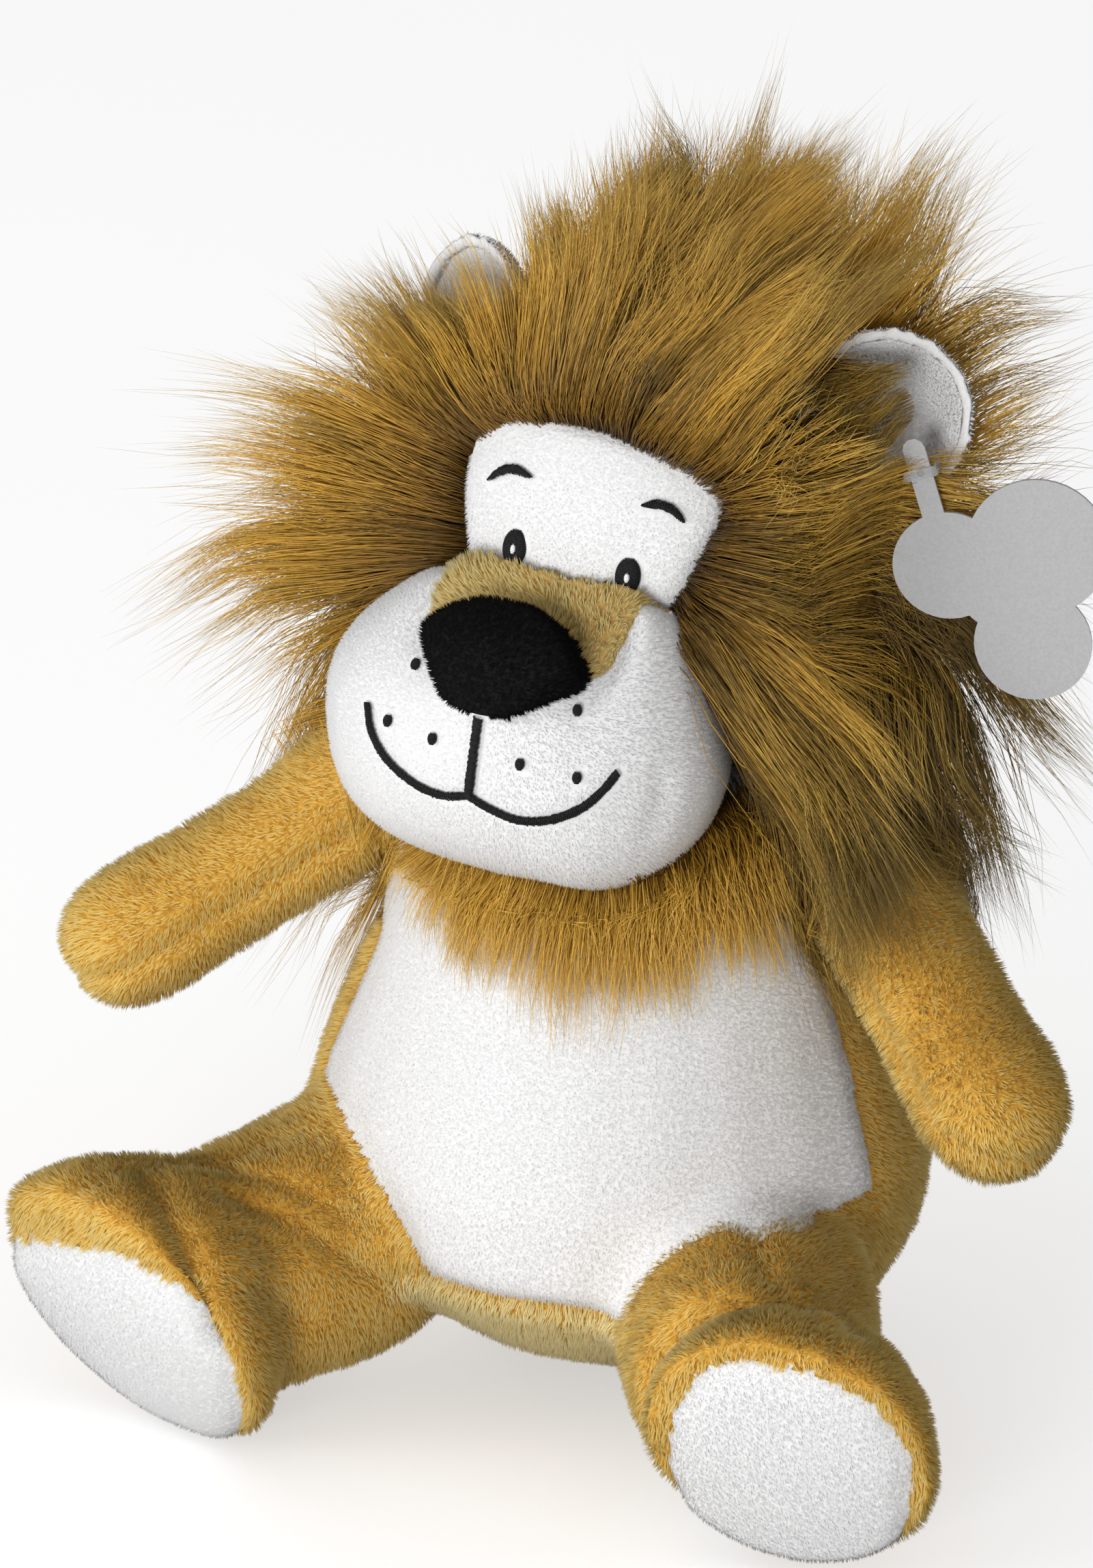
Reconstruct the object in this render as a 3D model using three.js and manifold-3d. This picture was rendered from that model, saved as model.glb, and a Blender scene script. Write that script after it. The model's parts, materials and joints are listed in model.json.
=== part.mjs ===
// Seated plush lion with a long-haired mane, embroidered face, stuffed limbs and a paper hang tag.
// Millimetres, +Z up. The lion faces -Y, its own left side is +X, and it sits on z = 0.
import * as THREE from 'three';
import { mergeVertices } from 'three/addons/utils/BufferGeometryUtils.js';
import Module from 'manifold-3d';

const wasm = await Module();
wasm.setup();

// Fabric and seams
const pileThickness = 3;        // backing cloth with its short pile
const seamGap = 0.3;            // space between neighbouring pieces
const overrun = 20;             // how far a cutting shape runs past what it cuts
const reach = 400;              // size of a cutting block

// Torso
const torsoHeight = 150;
const torsoHalfWidth = 65;
const seatPressing = 1.5;       // how deep the underside is pressed flat
const neckHeight = 142;         // height of the neck seam
const seatSeamHeight = 14;      // height of the seam round the seat panel
const bellySpread = 78;         // degrees from the front to each side seam
const bellyCornerHeight = 56;
const bellyBottom = 34;
const bellyBottomHalfWidth = 37;

// Arms
const shoulderOut = 46;
const shoulderHeight = 124;
const shoulderBall = 17;        // radius of the rounded root in its armhole
const armLength = 85;           // pivot to fingertip
const armHalfWidth = 17;
const armHalfDepth = 15.5;
const pawOut = 47.7;            // pivot to paw, sideways, forward and down
const pawForward = 35.6;
const pawDown = 35.6;
const armLift = 35;             // degrees the arm can rise
const armDrop = 8;              // degrees the arm can sink

// Legs
const hipOut = 45;
const hipForward = 40;
const hipHeight = 35;
const hipBall = 27.5;           // radius of the rounded root in its leg opening
const legLength = 74;           // pivot to the tip of the toes
const legHalfWidth = 28;
const legHalfDepth = 29;
const soleOut = 31;             // pivot to sole, sideways, forward and down
const soleForward = 60;
const soleDown = 7;
const soleAlong = 62;           // pivot to the crown of the sole
const soleLean = 13;            // degrees the sole faces down from the leg's own heading
const soleCurve = 90;           // radius of the gently domed sole
const soleDepth = 4;            // how far the sole panel's seam lies behind its crown
const legLift = 22;             // degrees the leg can rise

// Head
const headHalfWidth = 46;
const headHalfDepth = 42;
const headHalfHeight = 43;
const headHeight = 184;         // height of the head's centre
const headForward = -2;         // the head's centre lies a little behind the neck
const headTurn = -9;            // degrees the sewn head is turned to its right
const headTilt = 2.5;           // degrees the sewn head is tilted
const headSwing = 15;           // degrees of turn that the arms leave the muzzle room for
const faceHalfWidth = 31;
const faceHalfHeight = 25;
const faceHeight = 185;
const faceFootShare = 0.6;      // width at the muzzle
const faceBrowShare = 0.86;     // how square the upper corners are
const faceSteps = 4;
const faceFlareShare = 1.5;     // how much the opening in the hair widens forwards
const faceSeat = 18;            // where that opening begins in front of the head's middle
const faceDepth = 60;
const chestGap = 1;             // space between the chest and what turns over it

// Muzzle, bridge and nose
const muzzleHalfWidth = 43;
const muzzleHalfDepth = 33;
const muzzleHalfHeight = 30;
const muzzleForward = 33;
const muzzleAside = -4;         // the muzzle is sewn a little to the lion's right
const muzzleHeight = 149;
const bridgeHalfWidth = 33;
const bridgeRise = 11;          // the bridge's edge above the middle of the muzzle
const noseHalfWidth = 18.5;
const noseHalfHeight = 12;
const noseHalfDepth = 9;
const noseForward = 58;
const noseAside = 1;
const noseHeight = 169.5;
const noseSteps = 5;
const noseLean = 38;            // degrees the nose leans back
const noseLipShare = 0.3;       // width of its lower edge
const noseDomeShare = 1.25;
const noseCheekShares = [0.72, 0.45]; // how the sides draw in towards the lip
const noseCrownShares = [0.62, 0.2];  // how the top rounds over from the widest points
const bridgeEndShare = 0.95;

// Ears
const earRadius = 18.5;
const earThickness = 6;
const earCup = 6;               // depth of the hollow in front
const earOut = 47;
const earBack = 6;
const earHeight = 217;
const earTurn = 24;             // degrees each ear turns outwards
const earLookShare = 0.15;      // how much each ear looks up
const earWindow = 60;           // how far the hair leaves the ear's front free
const earShares = [0, 0.45, 0.8, 1];

// Mane and beard
const maneTop = 83;             // reach of the hair from the middle of the head
const maneLeft = 80;
const maneRight = 95;           // brushed further out on the lion's right
const maneBack = 53;
const maneFront = 40;
const maneBelow = 60;
const maneHeight = 188;
const maneLocks = 13;
const lockDepth = 5;
const lockTwistShare = 0.12;    // how far the locks wind round the head
const maneSet = 4;              // the hair's middle lies behind the neck
const maneLift = 1;             // space between the hair and the shoulders
const maneSides = 52;
const maneRings = 10;
const maneBackSeam = 22;        // where the back piece of the hair begins
const beardHalfWidth = 30;
const beardDrop = 46;
const beardThickness = 13;
const beardRoot = 27;           // how far forward the beard begins
const beardShares = [
  [-1, -0.2], [-1, 0.3], [-0.86, 0.72], [-0.7, 0.5], [-0.5, 0.86], [-0.28, 0.66], [0.05, 1.04], [0.3, 0.7],
  [0.5, 0.84], [0.7, 0.5], [0.9, 0.62], [1, 0.3], [1, -0.2],
];

// Tail
const tailRadius = 6;
const tailBall = 8;             // radius of the rounded root
const tailRootOut = 52;         // pivot's distance from the torso's axis
const tailRootHeight = 25;
const tailFall = 12.5;          // degrees the tail slopes down to the ground
const tailLength = 44;
const tailInTuft = 20;          // how far the tail runs on inside its tuft
const tuftRadius = 11;
const tuftLength = 36;
const tailHeading = 28;         // degrees the tail points away from straight back
const tailSwing = 30;           // degrees the tail can swing each way

// Hang tag
const tagThickness = 0.8;
const tagBesideEar = 10.5;      // the stem's end from the middle of the left ear
const tagBeforeEar = 7.5;
const tagBelowEar = 3;
const tagTurn = 24;             // degrees the tag faces outwards
const tagSpan = 40;
const tagLobeShares = [ // across, up, radius: left lobe, upper right lobe, lower right lobe, middle
  [0.225, -0.575, 0.275], [0.65, -0.425, 0.35], [0.675, -0.925, 0.29], [0.5, -0.65, 0.225],
];
const tagNotch = 6;             // space in the hair beside, below and above the tag's stem
const tagReach = 54;
const tagRise = 6;
const stemWidth = 4.4;
const slotAlong = 5;            // slot's distance from the stem's end
const slotRadius = 0.8;
const strapWidth = 2;
const strapThickness = 0.5;
const strapGap = 0.7;
const strapDepth = 5;           // how far the strap reaches behind the tag, to the ear

// Facets
const bodySides = 24;
const bodyRings = 13;
const limbSides = 14;
const limbRings = 10;
const soleRings = 20;
const ballSides = 24;
const innerSides = 10;
const innerRings = 7;
const beardSides = 20;
const tagSides = 40;

// Outlines from pole to pole: share of the length, share of the half width
const pearShares = [
  [0, 0], [0.006, 0.32], [0.05, 0.54], [0.12, 0.74], [0.21, 0.91], [0.32, 1], [0.44, 0.97],
  [0.56, 0.86], [0.7, 0.76], [0.83, 0.65], [0.93, 0.46], [0.985, 0.2], [1, 0],
];
const armShares = [
  [0, 0], [0.03, 0.6], [0.14, 0.95], [0.35, 0.94], [0.6, 0.94], [0.8, 1], [0.92, 0.84], [0.985, 0.42], [1, 0],
];
const tailShares = [[0, 0], [0.02, 0.8], [0.1, 1], [0.5, 0.94], [0.9, 0.9], [0.98, 0.7], [1, 0]];
const tuftShares = [[0, 0], [0.03, 0.5], [0.2, 0.85], [0.45, 1], [0.75, 0.72], [0.95, 0.25], [1, 0]];
const legShares = [
  [0, 0], [0.03, 0.5], [0.15, 0.86], [0.34, 0.93], [0.52, 0.86],
  [0.7, 0.97], [0.84, 1], [0.95, 0.8], [0.99, 0.4], [1, 0],
];

const degrees = THREE.MathUtils.degToRad;

/** Closed mesh geometry to a solid for cutting. */
function solid(geometry) {
  const bare = geometry.clone();
  bare.deleteAttribute('normal');
  bare.deleteAttribute('uv');
  const merged = mergeVertices(bare);
  return new wasm.Manifold(new wasm.Mesh({
    numProp: 3,
    vertProperties: Float32Array.from(merged.attributes.position.array),
    triVerts: Uint32Array.from(merged.index.array),
  }));
}

/** Solid back to mesh geometry. */
function geometryOf(shape) {
  const mesh = shape.getMesh();
  const geometry = new THREE.BufferGeometry();
  const positions = new Float32Array(mesh.numVert * 3);
  for (let i = 0; i < mesh.numVert; i += 1) {
    for (let k = 0; k < 3; k += 1) positions[i * 3 + k] = mesh.vertProperties[i * mesh.numProp + k];
  }
  geometry.setAttribute('position', new THREE.BufferAttribute(positions, 3));
  geometry.setIndex(Array.from(mesh.triVerts));
  geometry.computeVertexNormals();
  return geometry;
}

const moved = (shape, matrix) => shape.transform(matrix.elements);
const shift = (x, y, z) => new THREE.Matrix4().makeTranslation(x, y, z);

/** Skin of rings between two poles, closed at both ends. */
function ringSkin(rings, bottom, top) {
  const sides = rings[0].length;
  const positions = [...bottom];
  rings.forEach((ring) => ring.forEach((point) => positions.push(...point)));
  positions.push(...top);
  const last = positions.length / 3 - 1;
  const index = [];
  for (let j = 0; j < sides; j += 1) {
    const next = (j + 1) % sides;
    index.push(0, 1 + next, 1 + j);
    for (let k = 0; k < rings.length - 1; k += 1) {
      const low = 1 + k * sides;
      const high = low + sides;
      index.push(low + j, low + next, high + next, low + j, high + next, high + j);
    }
    const crown = 1 + (rings.length - 1) * sides;
    index.push(crown + j, crown + next, last);
  }
  const geometry = new THREE.BufferGeometry();
  geometry.setAttribute('position', new THREE.Float32BufferAttribute(positions, 3));
  geometry.setIndex(index);
  return solid(geometry);
}

/** Stuffed form along +Z from its pole at z = 0, with a smooth outline through the shares. */
function stuffedForm(shares, length, halfWidth, halfDepth, sides, rings, grow = 0) {
  const half = shares.map(([along, out]) => new THREE.Vector3(out, along, 0));
  const mirrored = half.slice(1, -1).reverse().map((point) => new THREE.Vector3(-point.x, point.y, 0));
  const outline = new THREE.CatmullRomCurve3([...half, ...mirrored], true, 'catmullrom', 0.5);
  const loops = [];
  for (let k = 1; k < rings; k += 1) {
    const t = k / rings / 2;
    const point = outline.getPoint(t);
    const tangent = outline.getTangent(t);
    const normal = new THREE.Vector2(tangent.y * length, -tangent.x * halfWidth).normalize();
    const width = point.x * halfWidth + grow * normal.x;
    const depth = point.x * halfDepth + grow * normal.x;
    const z = point.y * length + grow * normal.y;
    const loop = [];
    for (let j = 0; j < sides; j += 1) {
      const angle = (2 * Math.PI * j) / sides;
      loop.push([width * Math.cos(angle), depth * Math.sin(angle), z]);
    }
    loops.push(loop);
  }
  return ringSkin(loops, [0, 0, -grow], [0, 0, length + grow]);
}

/** Ellipsoid about the origin. */
function ellipsoid(halfWidth, halfDepth, halfHeight, sides, rings, grow = 0) {
  const sphere = new THREE.SphereGeometry(1, sides, rings);
  sphere.rotateX(Math.PI / 2);
  sphere.scale(halfWidth + grow, halfDepth + grow, halfHeight + grow);
  return solid(sphere);
}

/** Block between two corners. */
function block(low, high) {
  const size = high.map((value, i) => value - low[i]);
  const box = new THREE.BoxGeometry(...size);
  box.translate(...low.map((value, i) => value + size[i] / 2));
  return solid(box);
}

const above = (z) => block([-reach, -reach, z], [reach, reach, z + reach]);
const below = (z) => block([-reach, -reach, z - reach], [reach, reach, z]);
const leftOf = (x) => block([x, -reach, -reach], [x + reach, reach, reach]);
const rightOf = (x) => block([x - reach, -reach, -reach], [x, reach, reach]);
const behind = (y) => block([-reach, y, -reach], [reach, y + reach, reach]);
const before = (y) => block([-reach, y - reach, -reach], [reach, y, reach]);

/** Matrix that points local +Z along a direction, with local +Y kept upwards. */
function pointing(direction, origin) {
  const z = direction.clone().normalize();
  const x = new THREE.Vector3(0, 0, 1).cross(z).normalize();
  const y = z.clone().cross(x);
  return new THREE.Matrix4().makeBasis(x, y, z).setPosition(origin);
}

/** Rotation about an axis through a point. */
function turnAbout(point, axis, angle) {
  return shift(point.x, point.y, point.z)
    .multiply(new THREE.Matrix4().makeRotationAxis(axis, degrees(angle)))
    .multiply(shift(-point.x, -point.y, -point.z));
}

// Finishes
const finish = (color, roughness, metalness = 0) => ({ color, roughness, metalness });
const goldenPlush = finish(0xc9963f, 0.95);
const whitePlush = finish(0xf4f3f1, 0.95);
const beigePlush = finish(0xc9a669, 0.95);
const blackPlush = finish(0x0d0d0e, 0.9);
const maneFur = finish(0x9a6f27, 0.9);
const fibreFill = finish(0xf7f7f4, 1);
const greyPaper = finish(0xc4c5c6, 0.7);
const clearPlastic = finish(0xe9ecee, 0.2);

const lion = new THREE.Group();
function add(name, shape, surface) {
  const mesh = new THREE.Mesh(geometryOf(shape), new THREE.MeshStandardMaterial(surface));
  mesh.name = name;
  lion.add(mesh);
}

// Torso forms
const torsoForm = (grow, sides = bodySides, rings = bodyRings) => moved(
  stuffedForm(pearShares, torsoHeight + seatPressing, torsoHalfWidth, torsoHalfWidth, sides, rings, grow),
  shift(0, 0, -seatPressing),
);
const side = { left: 1, right: -1 };
const upwards = new THREE.Vector3(0, 0, 1);

// Limb frames
const shoulder = (s) => new THREE.Vector3(s * shoulderOut, 0, shoulderHeight);
const armHeading = (s) => new THREE.Vector3(s * pawOut, -pawForward, -pawDown);
const hip = (s) => new THREE.Vector3(s * hipOut, -hipForward, hipHeight);
const legHeading = (s) => new THREE.Vector3(s * soleOut, -soleForward, -soleDown);
const armAxis = (s) => new THREE.Vector3(0, -s, 0);
const legAxis = (s) => upwards.clone().cross(legHeading(s)).normalize().negate();
const armAngles = [-armDrop, 0, armLift / 2, armLift];
const legAngles = [0, legLift / 2, legLift];

/** Shape as seen from inside a frame. */
const frameless = (shape, frame) => moved(shape, frame.clone().invert());

/** Space that the torso takes up, seen from a limb at each end of its travel. */
function torsoAsSeenBy(pivot, axis, angles, grow) {
  const turned = angles.map((angle) => moved(torsoForm(grow), turnAbout(pivot, axis, -angle)));
  return wasm.Manifold.union(turned);
}

/** Limb with a round root that turns in the torso's opening. */
function limb(form, pivot, heading, axis, ball, inTheWay) {
  return moved(form, pointing(heading, pivot)).subtract(inTheWay).add(ballAt(pivot, ball, axis));
}

// The head is modelled straight, then set at the angle at which it is sewn
const neck = new THREE.Vector3(0, 0, neckHeight);
const headPose = turnAbout(neck, upwards, headTurn)
  .multiply(turnAbout(neck, new THREE.Vector3(0, 1, 0), headTilt));
const posed = (shape) => moved(shape, headPose);
const muzzleForm = (grow, sides = bodySides, rings = bodyRings) => moved(
  ellipsoid(muzzleHalfWidth, muzzleHalfDepth, muzzleHalfHeight, sides, rings, grow),
  shift(muzzleAside, -muzzleForward, muzzleHeight),
);

/** Space that the muzzle sweeps when the head turns towards an arm, seen from the arm along its travel. */
function muzzleAsSeenByArm(s, gap) {
  const muzzle = posed(muzzleForm(gap));
  const sweep = [0, headSwing / 2, headSwing].flatMap((swing) => {
    const turned = moved(muzzle, turnAbout(neck, upwards, s * swing));
    return armAngles.map((angle) => moved(turned, turnAbout(shoulder(s), armAxis(s), -angle)));
  });
  return wasm.Manifold.union(sweep);
}

// Torso: belly, two back halves and seat sewn round one filling
const sideNames = ['left', 'right'];
/** Ball whose facets run round the axis that it turns about. */
function ballAt(point, radius, axis = upwards) {
  const turn = new THREE.Quaternion().setFromUnitVectors(upwards, axis);
  const place = new THREE.Matrix4().makeRotationFromQuaternion(turn).setPosition(point);
  return moved(ellipsoid(radius, radius, radius, ballSides, innerRings), place);
}
const tailOutwards = new THREE.Vector3(-Math.sin(degrees(tailHeading)), Math.cos(degrees(tailHeading)), 0);
const tailPivot = tailOutwards.clone().multiplyScalar(tailRootOut).setZ(tailRootHeight);

const openings = wasm.Manifold.union([
  ...sideNames.map((name) => ballAt(shoulder(side[name]), shoulderBall + seamGap, armAxis(side[name]))),
  ...sideNames.map((name) => ballAt(hip(side[name]), hipBall + seamGap, legAxis(side[name]))),
  ballAt(tailPivot, tailBall + seamGap),
]);

/** Wedge in front of the torso that the belly panel fills, between its two side seams. */
function bellyRegion(gap) {
  const edgeX = Math.sin(degrees(bellySpread)) * reach;
  const edgeY = -Math.cos(degrees(bellySpread)) * reach;
  const wedge = new THREE.Shape([
    new THREE.Vector2(0, 0), new THREE.Vector2(-edgeX, edgeY), new THREE.Vector2(-edgeX, -reach),
    new THREE.Vector2(edgeX, -reach), new THREE.Vector2(edgeX, edgeY),
  ]);
  const prism = (shape) => solid(new THREE.ExtrudeGeometry(shape, { depth: reach, bevelEnabled: false }));
  const halfWidth = bellyBottomHalfWidth + gap;
  const between = block([-halfWidth, -reach, bellyBottom - gap], [halfWidth, 0, reach]);
  const whole = moved(prism(wedge), shift(0, gap, bellyBottom - gap));
  return whole.intersect(above(bellyCornerHeight - gap).add(between));
}

function addTorso() {
  const outside = torsoForm(0).intersect(above(0)).intersect(below(neckHeight)).subtract(openings);
  const inside = torsoForm(-pileThickness, innerSides, innerRings).intersect(above(pileThickness));
  const skin = outside.subtract(inside);
  const belly = skin.intersect(bellyRegion(0));
  const rest = skin.subtract(bellyRegion(seamGap));
  const stripHalf = bellyBottomHalfWidth;
  const frontStrip = block([-stripHalf, -reach, 0], [stripHalf, 0, bellyBottom]);
  const frontStripGap = block([-stripHalf - seamGap, -reach, 0], [stripHalf + seamGap, 0, reach]);
  const seat = rest.intersect(below(seatSeamHeight).add(frontStrip));
  const back = rest.subtract(below(seatSeamHeight + seamGap).add(frontStripGap));
  add('belly_panel', belly, whitePlush);
  add('back_panel_left', back.intersect(leftOf(seamGap / 2)), goldenPlush);
  add('back_panel_right', back.intersect(rightOf(-seamGap / 2)), goldenPlush);
  add('seat_panel', seat, goldenPlush);
  const fill = torsoForm(-pileThickness - seamGap, innerSides, innerRings)
    .intersect(above(pileThickness + seamGap)).intersect(below(neckHeight)).subtract(openings);
  add('torso_stuffing', fill, fibreFill);
}

// Arms: upper and lower half sewn round a filling
function addArm(name) {
  const s = side[name];
  const pivot = shoulder(s);
  const arm = (grow, sides = limbSides, rings = limbRings) => limb(
    stuffedForm(armShares, armLength, armHalfWidth, armHalfDepth, sides, rings, grow),
    pivot, armHeading(s), armAxis(s), shoulderBall + grow,
    torsoAsSeenBy(pivot, armAxis(s), armAngles, seamGap - grow),
  ).subtract(muzzleAsSeenByArm(s, seamGap - grow));
  const frame = pointing(armHeading(s), pivot);
  const upperHalf = moved(block([-reach, seamGap / 2, -reach], [reach, reach, reach]), frame);
  const lowerHalf = moved(block([-reach, -reach, -reach], [reach, -seamGap / 2, reach]), frame);
  const skin = arm(0).subtract(arm(-pileThickness, innerSides, innerRings));
  add(`arm_${name}_upper`, skin.intersect(upperHalf), goldenPlush);
  add(`arm_${name}_lower`, skin.intersect(lowerHalf), goldenPlush);
  add(`arm_${name}_stuffing`, arm(-pileThickness - seamGap, innerSides, innerRings), fibreFill);
}

// Legs: inner and outer half and a white sole sewn round a filling
function addLeg(name) {
  const s = side[name];
  const pivot = hip(s);
  const frame = pointing(legHeading(s), pivot);
  const soleFrame = frame.clone().multiply(shift(0, 0, soleAlong))
    .multiply(new THREE.Matrix4().makeRotationX(degrees(soleLean)));
  const soleBall = (grow) => moved(
    ellipsoid(soleCurve, soleCurve, soleCurve, limbSides, soleRings, grow),
    soleFrame.clone().multiply(shift(0, 0, -soleCurve)),
  );
  const legForm = (grow, sides, rings) => stuffedForm(
    legShares, legLength, legHalfWidth, legHalfDepth, sides, rings, grow,
  ).intersect(frameless(soleBall(grow), frame));
  const leg = (grow, sides = limbSides, rings = limbRings) => limb(
    legForm(grow, sides, rings), pivot, legHeading(s), legAxis(s), hipBall + grow,
    torsoAsSeenBy(pivot, legAxis(s), legAngles, seamGap - grow),
  ).intersect(above(-grow));
  const beyondSeam = moved(block([-reach, -reach, -soleDepth], [reach, reach, reach]), soleFrame);
  const beforeSeam = moved(block([-reach, -reach, -reach], [reach, reach, -soleDepth - seamGap]), soleFrame);
  const plusHalf = moved(block([seamGap / 2, -reach, -reach], [reach, reach, reach]), frame);
  const minusHalf = moved(block([-reach, -reach, -reach], [-seamGap / 2, reach, reach]), frame);
  const skin = leg(0).subtract(leg(-pileThickness, innerSides, innerRings));
  const tube = skin.intersect(beforeSeam);
  add(`leg_${name}_outer`, tube.intersect(s > 0 ? plusHalf : minusHalf), goldenPlush);
  add(`leg_${name}_inner`, tube.intersect(s > 0 ? minusHalf : plusHalf), goldenPlush);
  add(`sole_${name}`, skin.intersect(beyondSeam), whitePlush);
  add(`leg_${name}_stuffing`, leg(-pileThickness - seamGap, innerSides, innerRings), fibreFill);
}

const overNeck = (gap) => above(neckHeight + gap);
const headForm = (grow, sides = bodySides, rings = bodyRings) => moved(
  ellipsoid(headHalfWidth, headHalfDepth, headHalfHeight, sides, rings, grow),
  shift(0, -headForward, headHeight),
);

/** Opening in the hair that shows the face, widening forwards. */
function faceRegion(grow) {
  const outline = new THREE.Shape();
  const w = faceHalfWidth + grow;
  const h = faceHalfHeight + grow;
  const foot = w * faceFootShare;
  outline.moveTo(0, -h);
  outline.quadraticCurveTo(foot, -h, foot + (w - foot) / 2, 0);
  outline.bezierCurveTo(w, h / 2, w, h * faceBrowShare, w * faceBrowShare, h * faceBrowShare);
  outline.quadraticCurveTo(w / 2, h, 0, h);
  outline.quadraticCurveTo(-w / 2, h, -w * faceBrowShare, h * faceBrowShare);
  outline.bezierCurveTo(-w, h * faceBrowShare, -w, h / 2, -foot - (w - foot) / 2, 0);
  outline.quadraticCurveTo(-foot, -h, 0, -h);
  const points = outline.getPoints(faceSteps).slice(0, -1);
  const ringAt = (depth, size) => points.map((point) => [point.x * size, point.y * size, depth]);
  const loops = [ringAt(0, 1), ringAt(faceDepth, faceFlareShare)];
  const cone = ringSkin(loops, [0, 0, 0], [0, 0, faceDepth]);
  const upright = new THREE.Matrix4().makeRotationX(Math.PI / 2);
  return moved(moved(cone, upright), shift(0, -faceSeat, faceHeight));
}

const clearOfChest = (shape) => posed(shape).subtract(torsoForm(chestGap));

function addHead() {
  const skin = headForm(0).subtract(headForm(-pileThickness, innerSides, innerRings));
  add('face_panel', posed(skin.intersect(faceRegion(-seamGap / 2))), whitePlush);
  const fill = headForm(-pileThickness - seamGap, innerSides, innerRings);
  add('head_stuffing', posed(fill).intersect(overNeck(seamGap)), fibreFill);
}

// Nose outline: rounded on top, widest at its upper third, narrow at the lip
function noseOutline(grow) {
  const w = noseHalfWidth + grow;
  const h = noseHalfHeight + grow;
  const outline = new THREE.Shape();
  outline.moveTo(-w * noseLipShare, -h);
  outline.lineTo(w * noseLipShare, -h);
  const [cheekOut, cheekDown] = noseCheekShares;
  const [crownOut, widestUp] = noseCrownShares;
  outline.quadraticCurveTo(w * cheekOut, -h * cheekDown, w, h * widestUp);
  outline.quadraticCurveTo(w * crownOut, h, 0, h);
  outline.quadraticCurveTo(-w * crownOut, h, -w, h * widestUp);
  outline.quadraticCurveTo(-w * cheekOut, -h * cheekDown, -w * noseLipShare, -h);
  return outline;
}

const noseFrame = shift(noseAside, -noseForward, noseHeight)
  .multiply(new THREE.Matrix4().makeRotationX(degrees(90 - noseLean)));
function nosePrism(grow) {
  const settings = { depth: 2 * overrun, bevelEnabled: false, curveSegments: noseSteps };
  const prism = solid(new THREE.ExtrudeGeometry(noseOutline(grow), settings));
  return moved(moved(prism, shift(0, 0, -overrun)), noseFrame);
}
const noseDome = () => moved(ellipsoid(
  noseHalfWidth * noseDomeShare, noseHalfHeight * noseDomeShare, noseHalfDepth, bodySides, innerRings,
), noseFrame);

function addMuzzle() {
  const skin = muzzleForm(0).subtract(muzzleForm(-pileThickness, innerSides, innerRings))
    .subtract(headForm(seamGap)).subtract(nosePrism(seamGap));
  const endHalf = noseHalfWidth * bridgeEndShare;
  const wedge = (grow) => {
    const outline = new THREE.Shape([
      new THREE.Vector2(-bridgeHalfWidth - grow, 0), new THREE.Vector2(-endHalf - grow, -noseForward),
      new THREE.Vector2(endHalf + grow, -noseForward), new THREE.Vector2(bridgeHalfWidth + grow, 0),
    ]);
    const prism = new THREE.ExtrudeGeometry(outline, { depth: reach, bevelEnabled: false });
    return moved(solid(prism), shift(0, 0, muzzleHeight + bridgeRise - grow));
  };
  add('bridge_panel', posed(skin.intersect(wedge(0))), beigePlush);
  add('muzzle_panel', clearOfChest(skin.subtract(wedge(seamGap))), whitePlush);
  add('nose_pad', posed(nosePrism(0).intersect(noseDome()).subtract(muzzleForm(-pileThickness))), blackPlush);
  const fill = muzzleForm(-pileThickness - seamGap, innerSides, innerRings).subtract(headForm(seamGap));
  add('muzzle_stuffing', clearOfChest(fill), fibreFill);
}

// Ears: two cupped layers, open side to the front
function earDisc(low, high, grow = 0) {
  const rise = (r) => earCup * (r / earRadius) ** 2;
  const radii = earShares.map((share) => share * (earRadius + grow));
  const bottom = radii.map((r) => new THREE.Vector2(r, rise(r) + low));
  const top = radii.map((r) => new THREE.Vector2(r, rise(r) + high)).reverse();
  const rim = new THREE.Vector2(earRadius + grow + (high - low) / 4, earCup + (low + high) / 2);
  const lathe = new THREE.LatheGeometry([...bottom, rim, ...top], limbSides);
  lathe.rotateX(Math.PI / 2);
  return solid(lathe);
}
const earFrame = (s) => pointing(
  new THREE.Vector3(s * Math.sin(degrees(earTurn)), -Math.cos(degrees(earTurn)), earLookShare),
  new THREE.Vector3(s * earOut, earBack, earHeight),
);
const ear = (s, low, high, grow) => moved(earDisc(low, high, grow), earFrame(s));
const earMiddle = -earThickness / 2;

function addEar(name) {
  const s = side[name];
  const head = headForm(seamGap);
  add(`ear_${name}_front`, posed(ear(s, earMiddle + seamGap / 2, 0).subtract(head)), whitePlush);
  add(`ear_${name}_back`, posed(ear(s, -earThickness, earMiddle - seamGap / 2).subtract(head)), whitePlush);
}

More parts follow.
